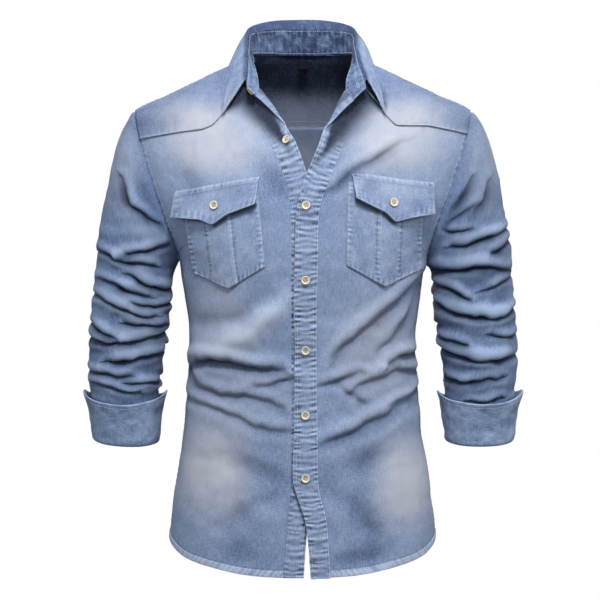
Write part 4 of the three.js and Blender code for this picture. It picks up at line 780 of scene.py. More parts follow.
# ---- plackets
def placket_grid(tab, deep, seed, side):
    idx = np.arange(len(tab))
    L = np.concatenate([[0], np.cumsum(np.hypot(np.diff(tab[:, 0] + tab[:, 4]) / 2, np.diff(tab[:, 1] + tab[:, 5]) / 2))])
    nr = int(L[-1] / 1.7)
    l = np.linspace(0, L[-1], nr)
    col = [herm(L, tab[:, k], l) for k in range(7)]
    nc = 23
    s = np.linspace(0, 1, nc)
    jx, jz, rx, rz, ex, ez, lift = [c[:, None] for c in col]
    # the roll line counts only where the neck opens; lower down the strip runs straight to its edge
    op = smooth(-118, -97, jz + 6)
    rx, rz = ex + (rx - ex) * op, ez + (rz - ez) * op
    w1, w2 = np.hypot(rx - jx, rz - jz), np.hypot(ex - rx, ez - rz)
    sr = w1 / (w1 + w2 * 1.25 + 1e-6)
    t1, t2 = np.clip(s / sr, 0, 1), np.clip((s - sr) / (1 - sr + 1e-6), 0, 1)
    X = np.where(s <= sr, jx + (rx - jx) * t1, rx + (ex - rx) * t2)
    Z = np.where(s <= sr, jz + (rz - jz) * t1, rz + (ez - rz) * t2)
    Lf = np.where(s <= sr, 0.5 * lift * t1 ** 2, 0.5 * lift + 0.5 * lift * (1 - (1 - t2) ** 2))
    ker = np.array((0.12, 0.2, 0.36, 0.2, 0.12))
    soft = lambda v: np.apply_along_axis(lambda q: np.convolve(np.pad(q, 2, mode="reflect", reflect_type="odd"), ker, "valid"), 1, v)
    X, Z, Lf = X + (soft(X) - X) * op, Z + (soft(Z) - Z) * op, Lf + (soft(Lf) - Lf) * op
    d = deep * (1 - smooth(-148, -112, ez))
    base = 0.9 * (1 - 0.6 * op) - d
    ll = np.broadcast_to(l[:, None], X.shape)
    edge_l = 1.05 * pucker(ll + 1.5 * s, seed, 7.2) * (np.exp(-((s - 0.13) / 0.17) ** 2))
    edge_r = 1.2 * pucker(ll + 3.0 + 1.5 * s, seed + 7, 7.0) * (np.exp(-((s - 0.86) / 0.19) ** 2))
    across = 0.6 * pucker(ll + 4 * np.sin(s * 3), seed + 13, 8.5)
    groove = -0.35 * (np.exp(-((s - 0.14) / 0.03) ** 2) + np.exp(-((s - 0.86) / 0.03) ** 2))
    calm = 1 - 0.72 * op
    p, h = on_front(X, Z, base + Lf + (edge_l + edge_r + across) * calm + groove)
    rim = op * (0.34 * np.exp(-((s - sr + 0.02) / 0.04) ** 2) - 0.22 * np.exp(-((s - sr + 0.14) / 0.035) ** 2) + 0.22 * np.exp(-((s - sr + 0.21) / 0.03) ** 2))
    return p, l, s, h, (edge_l + edge_r + across) * calm, rim


def dress_placket(tab, deep, seed, name, side):
    g, l, s, h, pk, rim = placket_grid(tab, deep, seed, side)
    u = arc(g, 1)
    edge = np.minimum(u, u[:, -1:] - u)
    tone = 0.07 + rim + 0.50 * pk - 0.10 * np.exp(-((s - 0.14) / 0.03) ** 2) - 0.10 * np.exp(-((s - 0.86) / 0.03) ** 2)
    fade = fade_at(FADES_FRONT, g[..., 0], g[..., 2])
    x_, z_ = g[..., 0], g[..., 2]
    # painted shade: fold troughs and the collar's shade, kept off the turned-out strip; on the under placket a painted
    # shadow beside the top placket's free edge
    flat_part = 1 - smooth(0.62, 0.84, s) * smooth(-135, -110, z_)
    shade = np.maximum(0.5 * painted_trough_shade(x_, z_), 0.93 * under_collar(x_, z_) * flat_part)
    if side < 0:
        gap = herm(TOP_PLACKET[:13, 5], TOP_PLACKET[:13, 4], z_) - x_
        shade = np.maximum(shade, (0.32 + 0.5 * smooth(-550, -570, z_)) * (1 - smooth(0.5, 3.2 + 2.5 * smooth(-550, -570, z_), gap)) * (z_ < -175))
    ob = make_grid(name, g, denim_body, 1.8, {"fade": fade * 0.7, "fold": h * 0.5, "edge": edge, "tone": tone, "shade": shade}, out=np.array((0, 200.0, -400.0)), inner=None)
    keep(ob, name)
    n = grid_normals(g)
    sign = 1 if np.mean(n[..., 1]) < 0 else -1
    rr = np.arange(2, g.shape[0] - 2, 1.0)
    for c in (0.14, 0.86):
        at, nn = sample(g, rr, c * (g.shape[1] - 1)), sign * sample(n, rr, c * (g.shape[1] - 1))
        low = at[:, 2] < (-132 if c < 0.5 else 0)
        stitches.line("stitches_front", at[low], nn[low])
    return g


g_top = dress_placket(TOP_PLACKET, 0.0, 201, "placket_top", 1)
g_under = dress_placket(UNDER_PLACKET, 2.9, 231, "placket_under", -1)


# ---- back and yoke
def yoke_seam(s):
    return YOKE_Z - 4 * s * s


nb, kb = 152, 140
s = np.linspace(-1, 1, kb)[None, :]
m, sg = np.abs(s), np.where(s < 0, -1.0, 1.0)
k = np.concatenate([np.linspace(0, 0.035, 14)[:-1], np.linspace(0.035, 1, nb - 13)])[:, None]
split = 0.66
h1, h2 = np.clip(k / split, 0, 1), np.clip((k - split) / (1 - split), 0, 1)
zs = ARM_LOW - 6 + (yoke_seam(1) - 0.4 - ARM_LOW + 6) * h2
a_side = np.where(zs < ARM_LOW, 90.0, 180 - angle_at(armx(zs), zs))
a_side = np.where(k <= split, 90.0, a_side)
aa = 180 + (a_side - 180) * m
ztop = -290 + (ARM_LOW - 6 + 290) * m
z_low = herm(HEM[:, 0], HEM[:, 1], 180 - 90 * m)
zz = np.where(k <= split, z_low + (ztop - z_low) * h1, ztop + (yoke_seam(s) - 0.4 - ztop) * h2)
g, h = torso(sg * aa, zz)
dA, dB, dH, dT = seam_dist(g)
side_d = np.minimum(dA, dB)
nrm = grid_normals(g)
nrm *= np.sign(np.mean(nrm[..., 1]))
l, w = arc(g, 0), arc(g, 1)
p = 0.5 * pucker(l, 301, 8.5) * np.exp(-side_d / 6.0) - 1.0 * np.exp(-(side_d / 2.2) ** 2)
p = p + smooth(9.5, 8.0, dH) * 0.7 + 0.55 * pucker(w + 0.7 * dH, 311, 7.5) * np.exp(-((dH - 7.0) / 5.0) ** 2)
p = p + 0.4 * pucker(w, 321, 8.0) * np.exp(-dT / 8.0)
g = g + nrm * p[..., None]
tone = 0.10 * np.exp(-side_d / 5.0) + 0.10 * np.exp(-((dH - 6) / 5) ** 2) * (0.5 + pucker(w + 0.7 * dH, 311, 7.5))
# painted shade in the troughs of the back folds
ob = make_grid("back", g, denim_body, 1.1, {"fade": np.maximum(fade_at(FADES_BACK, g[..., 0], g[..., 2]), fade_at(FADES_FRONT, g[..., 0], g[..., 2]) * (1 - smooth(0, 55, g[..., 1]))),
                                            "fold": h, "edge": np.minimum(dH, 60), "tone": tone, "shade": 0.5 * crush(FOLDS_BACK, g[..., 0], g[..., 2], 31, BODY_WIDE, 2.2)[2]}, out=np.array((0, 0, -400.0)), inner=denim_inside_painted_dark)
keep(ob, "back")
g_back = g
rr = np.interp(8.0, dH[:, 80], np.arange(g.shape[0]))
cc = np.linspace(0, g.shape[1] - 1, 330)
stitches.line("stitches_back", sample(g, rr, cc), sample(nrm, rr, cc))
for sgn in (0, 1):
    rows = np.arange(int(16 + 0.65 * (nb - 13)), g.shape[0] - 1)
    dd = (dB if sgn == 0 else dA)
    ccol = []
    for r in rows:
        x = dd[r] if sgn == 0 else dd[r][::-1]
        c = np.interp(6.5, x, np.arange(g.shape[1]))
        ccol.append(c if sgn == 0 else g.shape[1] - 1 - c)
    stitches.line("stitches_back", sample(g, rows, np.array(ccol)), sample(nrm, rows, np.array(ccol)))

NECK_SHARE = 0.36
ny = 56
k = np.linspace(0, 1, ny)[:, None]
a_low = 180 + (180 - angle_at(armx(yoke_seam(1)), yoke_seam(1)) - 180) * m
a_top = np.where(m <= NECK_SHARE, 180 + (90.0 - 180) * np.clip(m / NECK_SHARE, 0, 1) ** 1.05, 90.0)
z_top = np.where(m <= NECK_SHARE, 10.2 + (7 - 10.2) * m / NECK_SHARE, 7 + (ARM_TOP - 7) * (m - NECK_SHARE) / (1 - NECK_SHARE))
ay, zy = a_low + (a_top - a_low) * k, yoke_seam(s) + (z_top - yoke_seam(s)) * k
z_arm = yoke_seam(1) + (ARM_TOP - yoke_seam(1)) * k
ay = np.where(m > 0.9999, np.maximum(90.0, 180 - angle_at(armx(z_arm), z_arm)), ay)
g, h = torso(sg * ay, zy, 0.5)
nrm = grid_normals(g)
nrm *= np.sign(np.mean(nrm[..., 1]))
tuck = smooth(0.9, 1.0, k) * (1 - smooth(NECK_SHARE * 0.8, NECK_SHARE, m))
g = g + nrm * (0.8 * tuck)[..., None]
g[..., 2] += 5.0 * tuck
dA, dB, dL, dT = seam_dist(g)
w = arc(g, 1)
p = 0.5 * pucker(w, 341, 7.5) * np.exp(-dL / 7.0) + 0.35 * pucker(w, 351, 7.5) * np.exp(-dT / 6.0) - 0.3 * np.exp(-((dL - 1.8) / 0.9) ** 2)
p = p + 0.5 * pucker(arc(g, 0), 361, 8.0) * np.exp(-np.minimum(dA, dB) / 6.0)
g = g + nrm * p[..., None]
tone = 0.08 * np.exp(-dL / 5.0) * (1 + pucker(w, 341, 7.5)) + 0.05 * np.exp(-dT / 5.0)
ob = make_grid("back_yoke", g, denim_body, 1.1, {"fade": fade_at(FADES_BACK, g[..., 0], g[..., 2]) + 0.25 * smooth(-80, -20, g[..., 2]) * smooth(80, 140, np.abs(g[..., 0])), "fold": h, "edge": np.minimum(dL, 60), "tone": tone}, out=np.array((0, 0, -200.0)), inner=denim_neck_painted_shade)
keep(ob, "back_yoke")
g_yoke = g
cc = np.linspace(2, g.shape[1] - 3, 300)
for d in (1.8, 7.5):
    rr = np.array([np.interp(d, dL[:, int(c)], np.arange(ny)) for c in cc])
    stitches.line("stitches_back", sample(g, rr, cc), sample(nrm, rr, cc))
    rr = np.array([np.interp(d * 1.25 - 1, dL[:, int(c)], np.arange(ny)) for c in cc])
    stitches.line("stitches_back", sample(g - nrm * 1.15, rr, cc), -sample(nrm, rr, cc), r=0.3)


# ---- shoulder overlays
def overlay(name, tab, side):
    nr, nc = 50, 78
    a = np.linspace(0, 1, nc)[None, :]
    k = np.linspace(0, 1, nr)[:, None]
    # soft corners on the lower edge
    aa_, bx, bz = np.linspace(0, 1, 400), lin(tab, 1, np.linspace(0, 1, 400)), lin(tab, 2, np.linspace(0, 1, 400))
    ker = np.hanning(19)
    ker /= ker.sum()
    pad = lambda v: np.convolve(np.pad(v, 9, mode="reflect", reflect_type="odd"), ker, "valid")
    bx, bz = np.interp(a, aa_, pad(bx)), np.interp(a, aa_, pad(bz))
    tx = lin(tab, 3, a)
    zt = np.interp(tx, BODY[:6, 1], BODY[:6, 0])
    z = bz + (zt - bz) * k
    x = np.abs(bx) + (tx - np.abs(bx)) * k
    edge_a = np.where(z < ARM_TOP, np.abs(angle_at(armx(z) - 0.3, z)), 90.0)
    ang = np.minimum(np.minimum(np.abs(angle_at(x, z)), 89.8), edge_a)
    ang = np.where(k > 0.999, 89.8, ang)
    g, h = torso(side * ang, z, 2.0)
    n = grid_normals(g)
    n *= np.sign(np.mean(n[..., 1]) * -1)
    dA, dB, dL, dT = seam_dist(g)
    w = arc(g, 1)
    p = (0.9 * np.exp(-dL / 4.0) + 0.6 * pucker(w, 401 + side, 8.0) * np.exp(-dL / 7.0) - 0.4 * np.exp(-((dL - 2.6) / 0.9) ** 2)
         + 0.4 * pucker(w, 411 + side, 7.0) * np.exp(-dT / 6.0))
    g = g + n * p[..., None]
    fade = fade_at(FADES_FRONT, g[..., 0], g[..., 2])
    # tone: the whole upward-facing yoke is darkened as painted shade, its lower edge and seam rubbed paler; the shade
    # attribute paints the collar's shade
    tone = -0.17 + 0.16 * np.exp(-dL / 4.0) * (1 + pucker(w, 401 + side, 8.0)) + 0.06 * np.exp(-dT / 4)
    ob = make_grid(name, g, denim_body, 1.5, {"fade": fade, "fold": h, "edge": dL, "tone": tone, "shade": 0.93 * under_collar(g[..., 0], g[..., 2])}, out=np.array((0, 60.0, -250.0)))
    keep(ob, name)
    cc = np.linspace(1, nc - 2, 150)
    for d in (2.6,):
        rr = np.array([np.interp(d, dL[:, int(c)], np.arange(nr)) for c in cc])
        stitches.line("stitches_front", sample(g, rr, cc), sample(n, rr, cc))
    return g


g_yl = overlay("front_yoke_left", YOKE_LEFT, 1)
g_yr = overlay("front_yoke_right", YOKE_RIGHT, -1)


# ---- collar
def collar_rows(u):
    """n, f, o points and seam share for u from -1 to 1."""
    k = np.abs(u)
    out = []
    for c in range(1, 11):
        out.append(np.where(u < 0, herm(COLLAR_RIGHT[:, 0], COLLAR_RIGHT[:, c], k), herm(COLLAR_LEFT[:, 0], COLLAR_LEFT[:, c], k)))
    o = np.stack(out, -1)
    return o[:, 0:3], o[:, 3:6], o[:, 6:9], o[:, 9]


nu = 222
u = np.linspace(-1, 1, nu)
cn, cf, co, cm = collar_rows(u)


def with_ends(arr, left, right, steps=10):
    """Carries a line of points on past both front ends, to the free ends of the stand."""
    k = np.linspace(0, 1, steps + 1)[1:, None]
    tl, tr = (arr[-1] - arr[-4]), (arr[0] - arr[3])
    el = arr[-1] * (1 - k) ** 2 + 2 * k * (1 - k) * (arr[-1] + tl * 1.2) + k * k * left
    er = arr[0] * (1 - k) ** 2 + 2 * k * (1 - k) * (arr[0] + tr * 1.2) + k * k * right
    return np.concatenate([er[::-1], arr, el])


seam_pt = cn + (cf - cn) * cm[:, None]
sn = with_ends(cn, STAND_END_LEFT[:3], STAND_END_RIGHT[:3])
sf = with_ends(seam_pt, STAND_END_LEFT[3:], STAND_END_RIGHT[3:])
nv = 26
k = np.linspace(0, 1, nv)[:, None, None]
g = sn[None] + (sf - sn)[None] * k
out = g - np.array((0, 8.0, 0))
out[..., 2] = 0
out /= np.linalg.norm(out, axis=-1, keepdims=True)
l = arc(g, 1)
kk = np.linspace(0, 1, nv)[:, None]
along_l = np.broadcast_to(l[nv // 2], l.shape)
# distance along the stand from its free ends
total = along_l[0, -1]
ed = np.minimum(along_l, total - along_l)
pk = 0.55 * pucker(along_l, 501, 7.0) * (np.exp(-((kk - 0.1) / 0.14) ** 2) + np.exp(-((kk - 0.9) / 0.14) ** 2)) + 0.3 * pucker(along_l, 511, 11.0) * np.sin(np.pi * kk)
g = g + out * (2.0 * np.sin(np.pi * kk)[..., None] * -0.4) + out * pk[..., None]
# painted shade: the back of the stand is darker than its front ends
stand_back_painted_shade = 1 - smooth(0.30 * total, 0.40 * total, np.abs(along_l - total / 2))
tone = -0.08 + 0.34 * pk - 0.12 * np.exp(-((kk - 0.10) / 0.04) ** 2) - 0.32 * stand_back_painted_shade + 0.16 * noise2(along_l / 16.0, kk * 4.5, 561) + 0.13 * noise2(along_l / 6.0, kk * 8.0, 562)
edge = np.minimum(ed, 60)
ob = make_grid("collar_stand", g, denim_collar, 2.0, {"fade": np.zeros(l.shape), "fold": 0 * l, "edge": edge, "tone": tone}, out=np.array((0, 8.0, 0)), inner=None)
keep(ob, "collar_stand")
g_stand = g
n_in = grid_normals(g)
n_in *= -np.sign(np.mean(np.sum(n_in * out, -1)))
cols = np.linspace(2, g.shape[1] - 3, 400)
inner_face = g + n_in * 2.0
for rr_ in (0.08, 0.93):
    stitches.line("stitches_collar", sample(inner_face, rr_ * (nv - 1), cols), sample(n_in, rr_ * (nv - 1), cols))
    stitches.line("stitches_collar", sample(g, rr_ * (nv - 1), cols), -sample(n_in, rr_ * (nv - 1), cols))

hole = np.hypot(g[..., 0] - 76.5, g[..., 2] + 38)
i_, j_ = np.unravel_index(np.argmin(hole), hole.shape)
i_, j_ = int(np.clip(i_, 4, nv - 5)), int(np.clip(j_, 4, g.shape[1] - 7))
along, across = g[i_, j_ + 3] - g[i_, j_ - 3], g[i_ + 3, j_] - g[i_ - 3, j_]
along, across = along / np.linalg.norm(along), across / np.linalg.norm(across)
face = np.cross(along, across)
face *= -np.sign(face[1])
mid = g[i_, j_] if np.sum(face * -n_in[i_, j_]) > 0 else inner_face[i_, j_]
th = np.linspace(0, 2 * np.pi, 60)
ring_pts = mid + 6.0 * np.cos(th)[:, None] * along + 1.5 * np.sin(th)[:, None] * across + 0.25 * face
stitches.line("stitches_collar", ring_pts, np.repeat(face[None], 60, 0), pitch=0.9, share=0.9, r=0.45)

# the leaf rises from the seam, rolls over the fold line and lies out to its edge
S = seam_pt
down = co - cf
outv = np.stack([down[:, 0], down[:, 1], 0 * down[:, 0]], -1)
outv /= np.linalg.norm(outv, axis=1, keepdims=True)
up = np.array((0, 0, 1.0))
bulge = np.interp(np.abs(u), [0, 0.45, 0.7, 1.0], [5.0, 6.0, 5.0, 3.5])[:, None]
ctrl = [S - outv * 0.2, S * 0.35 + cf * 0.65 + outv * 0.2 + up * 1.0, cf + outv * 2.2 + up * 1.6, cf + outv * 5.0 - up * 1.8 + down * 0.03,
        cf + down * 0.28 + outv * bulge, cf + down * 0.6 + outv * bulge * 0.8, co + outv * 0.8]
ctrl = np.stack(ctrl)
tk = np.array([0, 0.09, 0.18, 0.25, 0.45, 0.72, 1.0])
nl_ = 42
tt = np.linspace(0, 1, nl_)
g = np.stack([[herm(tk, ctrl[:, j, c], tt) for c in range(3)] for j in range(nu)])     # nu x 3 x nl
g = np.transpose(g, (2, 0, 1))
l = arc(g, 1)
v = arc(g, 0)
along_l = np.broadcast_to(l[-1], l.shape)
dO = v[-1:] - v
dE = np.minimum(l, l[:, -1:] - l)
n_o = grid_normals(g)
n_o *= np.sign(np.mean(np.sum(n_o[26:] * outv[None], -1)))
pk = (0.45 * pucker(along_l, 521, 7.5) * np.exp(-((dO - 3) / 5) ** 2) + 0.35 * pucker(v, 531, 7.0) * np.exp(-((dE - 3) / 5) ** 2)
      + 0.5 * pucker(along_l, 541, 8.0) * np.exp(-(v / 5) ** 2))
wav = 1.1 * noise2(along_l / 45, v / 30, 551) * smooth(0.0, 20.0, v)
g = g + n_o * (pk + wav - 0.3 * np.exp(-((dO - 5) / 0.9) ** 2) - 0.3 * np.exp(-((dE - 5) / 0.9) ** 2))[..., None]
# painted shade on the leaf between the seam and the fold line
tone = 0.0 + 0.22 * pk + 0.05 * np.exp(-dO / 4) - 0.50 * (1 - smooth(0.15, 0.27, tt))[:, None] + 0.10 * noise2(along_l / 9, v / 6, 552) - 0.10 * np.exp(-((dO - 5) / 0.8) ** 2)
fade = 0.25 * smooth(20, 60, v) * smooth(0.55, 0.85, np.abs(u))[None, :]
edge = np.minimum(dO, dE)
ob = make_grid("collar_leaf", g, denim_body, 2.0, {"fade": fade, "fold": wav, "edge": edge, "tone": tone})
keep(ob, "collar_leaf")
g_leaf = g
cols = np.linspace(3, nu - 4, 420)
rr = np.array([np.interp(-5.0, -dO[:, int(c)], np.arange(nl_)) for c in cols])
stitches.line("stitches_collar", sample(g, rr, cols), sample(n_o, rr, cols))
for end in (0, 1):
    rows = np.arange(10, nl_ - 4, 0.5)
    cl = []
    for r in rows:
        x = l[int(r)] if end == 0 else (l[int(r)][-1] - l[int(r)])[::-1]
        c = np.interp(5.0, x, np.arange(nu))
        cl.append(c if end == 0 else nu - 1 - c)
    stitches.line("stitches_collar", sample(g, rows, np.array(cl)), sample(n_o, rows, np.array(cl)))


# ---- sleeves
def sleeve_base(tab, side, a, q):
    idx = np.arange(len(tab))
    k = q * idx[-1]
    t = [herm(idx, tab[:, c], k) for c in range(6)]
    ca, sa = np.cos(np.radians(a)), np.sin(np.radians(a))
    n = 2 + 0.25 * smooth(0, 0.3, q)
    cx, sx = np.sign(ca) * np.abs(ca) ** (2 / n), np.sign(sa) * np.abs(sa) ** (2 / n)
    ox, oz, ix, iz, b, y = t
    p = np.stack([ox + (ix - ox) * (1 - cx) / 2, y - b * sx, oz + (iz - oz) * (1 - cx) / 2], -1)
    w = 1 - smooth(0, 0.14, q)
    zA = np.clip(ARM_TOP + (ARM_LOW - ARM_TOP) * (1 - ca) / 2, ARM_LOW, ARM_TOP)
    xa = armx(zA)
    an = angle_at(xa, zA)
    body = ring(np.where(sa >= 0, an, 180 - an), zA)
    fix = np.stack([side * (xa + 0.3), body[..., 1], zA], -1)
    o0, i0, b0, y0 = tab[0, 0:2], tab[0, 2:4], tab[0, 4], tab[0, 5]
    top = np.stack([o0[0] + (i0[0] - o0[0]) * (1 - cx) / 2, y0 - b0 * sx, o0[1] + (i0[1] - o0[1]) * (1 - cx) / 2], -1)
    return p + (fix - top) * w[..., None]


def dress_sleeve(name, tab, folds, side, seed):
    nr, nc = 206, 150
    q = np.linspace(0, 1, nr)[:, None] * np.ones((1, nc))
    a = np.ones((nr, 1)) * np.linspace(0, 360, nc, endpoint=False)[None, :]
    g = sleeve_base(tab, side, a, q)
    n = grid_normals(g, True)
    cen = g.mean(1, keepdims=True)
    n *= np.sign(np.mean(np.sum(n * (g - cen), -1)))
    sa = np.sin(np.radians(a))
    sh = BACK_SLEEVE_SHIFT[0 if side > 0 else 1]
    mirror = [(w_, d_, r_, [(side * 2 * 236 - x, z + sh[1]) for x, z in pts]) for w_, d_, r_, pts in folds]
    fo, fd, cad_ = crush(folds, g[..., 0], g[..., 2], seed, SLEEVE_WIDE, 2.7)
    bo, bd, bk_ = crush(mirror, g[..., 0], g[..., 2], seed + 20, SLEEVE_WIDE, 2.7)
    wf = smooth(-0.30, 0.30, sa)
    h, drop = (fo * wf + bo * (1 - wf)) * SLEEVE_DEPTH, (fd * wf + bd * (1 - wf)) * SLEEVE_DEPTH
    fine = 1.3 * noise2(g[..., 0] / 34 + g[..., 1] / 60, g[..., 2] / 12, seed + 41) + 0.5 * noise2(g[..., 0] / 15, g[..., 2] / 8, seed + 42)
    dTop = arc(g, 0)
    dEnd = dTop[-1:] - dTop
    free = smooth(0.03, 0.14, q) * smooth(0, 12, dEnd)
    h = (h + fine * smooth(0.12, 0.35, q)) * free
    # painted shade in the fold troughs and along the underside of the sleeve, which faces the body
    shade = 0.93 * (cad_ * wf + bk_ * (1 - wf)) * free
    shade = np.maximum(shade, 0.55 * smooth(150, 176, a % 360) * (1 - smooth(184, 215, a % 360)) * smooth(0.05, 0.3, q))
    h = np.where(h < -11, -11 - (-11 - h) * 0.3, h)
    under = np.clip(1 - q * (nr - 1) / 3.0, 0, 1)
    l = arc(g, 1)
    along_l = np.broadcast_to(l[0], l.shape)
    pk = 0.6 * pucker(along_l, seed + 51, 8.0) * np.exp(-dTop / 7.0)
    lump = 1.3 * np.exp(-((dTop - 5) / 5) ** 2) * smooth(0, 3, dTop)
    g2 = g + n * (h + pk + lump)[..., None]
    g2[..., 2] -= drop * free
    g2[..., 0] -= side * 5.0 * under
    g2 -= n * (1.6 * under)[..., None]
    tone = 0.10 * np.exp(-dTop / 4.0) * (0.6 + pucker(along_l, seed + 51, 8.0))
    fade = fade_at([(side * x, z, rx, rz, s_) for x, z, rx, rz, s_ in FADES_SLEEVE], g[..., 0], g[..., 2])
    ob = make_grid(name, g2, denim_sleeve, 1.1, {"fade": fade, "fold": np.clip(h, -8, 6), "edge": np.full(l.shape, 60.0), "tone": tone, "shade": shade}, closed=True, out=cen, inner=denim_inside_painted_dark)
    keep(ob, name)
    return g2


g_sl = dress_sleeve("sleeve_left", SLEEVE_LEFT, FOLDS_SLEEVE_LEFT, 1, 601)
g_sr = dress_sleeve("sleeve_right", SLEEVE_RIGHT, FOLDS_SLEEVE_RIGHT, -1, 701)

# ---- cuffs: out from the sleeve surface o, height under the sleeve end z
CUFF_SECTION = np.array([(-1.4, -1), (-2.2, -20), (-2.8, -38), (-1.6, -40.6), (0.6, -41.6), (2.8, -40.6), (4.2, -37), (5.2, -20), (7.4, 0), (10.8, 16),
                         (12.6, 21), (12.4, 22.2), (11.2, 22.2), (10.2, 20.4), (8.4, 14), (5.4, 0), (3.2, -20), (2.0, -35), (0.9, -36.4), (0.2, -35.4), (0.2, -20), (0.2, -1)], float)


def dress_cuff(name, tab, side, seed, tilt):
    end = tab[-1]
    cx, rx, b, y, z0 = (end[0] + end[2]) / 2, abs(end[0] - end[2]) / 2, end[4], end[5], end[1]
    d = np.concatenate([[0], np.cumsum(np.hypot(*np.diff(CUFF_SECTION, axis=0).T))])
    t = np.linspace(0, d[-1], 104)
    so, sz = np.interp(t, d, CUFF_SECTION[:, 0]), np.interp(t, d, CUFF_SECTION[:, 1])
    ns = 152
    a = np.linspace(-38, 310, ns)
    e = np.abs(np.linspace(-1, 1, ns))
    corner = smooth(0.86, 1, e)
    A, O = np.meshgrid(np.radians(a), so, indexing="ij")
    _, Zz = np.meshgrid(a, sz, indexing="ij")
    _, T = np.meshgrid(a, t, indexing="ij")
    C = corner[:, None]
    outer = smooth(d[6], d[6] + 6, T) * (1 - smooth(d[16] - 4, d[16], T))
    rise = smooth(-20, 21, Zz) * outer
    ex, ey = np.cos(A), np.sin(A)
    la = np.radians(a)[:, None] * (rx + 6)
    wr = (1.5 * noise2(la / 34 + Zz / 60, Zz / 16 + 7, seed) + 0.7 * noise2(la / 13, Zz / 9, seed + 1)) * (0.35 + 0.65 * outer)
    pk = (0.55 * pucker(la, seed + 3, 7.0) * (np.exp(-((Zz - 16) / 4) ** 2) + np.exp(-((Zz + 34) / 4) ** 2))) * outer
    r = O + rise * 3.0 * C + wr + pk
    spike = np.abs(ex) ** 9
    zz_ = z0 + Zz + rise * (8 * ex * ex - 5 + 4 * spike + 3 * C + 0.9 * noise2(la / 26, 4.0, seed + 5)) - 3.0 * rise * smooth(0.1, 0.5, -ey)
    zz_ = zz_ + (1 - rise) * (tilt * ex + 2.2 * ex ** 4 - 1.0) * smooth(0, -30, Zz)
    g = np.stack([cx + side * (rx + r + rise * 2.5 * spike) * ex, y - (b + r) * ey, zz_], -1)
    edge = np.minimum(np.abs(T - d[11]), np.broadcast_to((1 - e)[:, None] * 150, T.shape))
    # 0.06 * side paints the wearer's left cuff lighter and the right one darker, as the light falls from that side
    tone = 0.04 + 0.06 * side + 0.32 * pk + 0.03 * wr + 0.12 * noise2(la / 5, Zz / 6, seed + 8) - 0.14 * np.exp(-((Zz - 15.5) / 1.2) ** 2) * outer
    ob = make_grid(name, g, denim_cuff, 0, {"fade": 0 * T, "fold": wr, "edge": edge, "tone": tone})
    # close the two ends of the strip
    bm = bmesh.new()
    bm.from_mesh(ob.data)
    bm.verts.ensure_lookup_table()
    nt_ = len(t)
    for st in (0, ns - 1):
        row = [bm.verts[st * nt_ + j] for j in range(nt_)]
        for j in range(nt_ // 2 - 1):
            f = (row[j], row[j + 1], row[nt_ - 2 - j], row[nt_ - 1 - j])
            if len(set(f)) == 4:
                try:
                    bm.faces.new(f)
                except ValueError:
                    pass
    for i in range(ns - 1):                     # the raw inner ends meet
        f = (bm.verts[i * nt_], bm.verts[(i + 1) * nt_], bm.verts[(i + 1) * nt_ + nt_ - 1], bm.verts[i * nt_ + nt_ - 1])
        bm.faces.new(f)
    bmesh.ops.recalc_face_normals(bm, faces=bm.faces)
    bm.to_mesh(ob.data)
    bm.free()
    ob.data.polygons.foreach_set("use_smooth", [True] * len(ob.data.polygons))
    keep(ob, name)
    n = grid_normals(g)
    n *= np.sign(np.mean(np.sum(n[:, 48:56] * (g[:, 48:56] - np.array((cx, y, z0))), -1)))
    j = 35 + int(np.argmin(np.abs(Zz[0, 35:68] - 15.5)))
    rows = np.linspace(2, ns - 3, 300)
    stitches.line("stitches_cuffs", sample(g, rows, float(j)), sample(n, rows, float(j)))
    return g


g_cl = dress_cuff("cuff_left", SLEEVE_LEFT, 1, 801, 0.5)
g_cr = dress_cuff("cuff_right", SLEEVE_RIGHT, -1, 831, 2.5)


# ---- pockets and flaps
def patch_grid(tab, nr, nc, lift, side_wave=0.0, seed=0):
    a = np.linspace(0, 1, nc)[None, :]
    k = np.linspace(0, 1, nr)[:, None]
    X = lin(tab, 1, a) + (lin(tab, 3, a) - lin(tab, 1, a)) * k
    Z = lin(tab, 2, a) + (lin(tab, 4, a) - lin(tab, 2, a)) * k
    A, K = np.broadcast_arrays(a, k)
    return X, Z, A, K


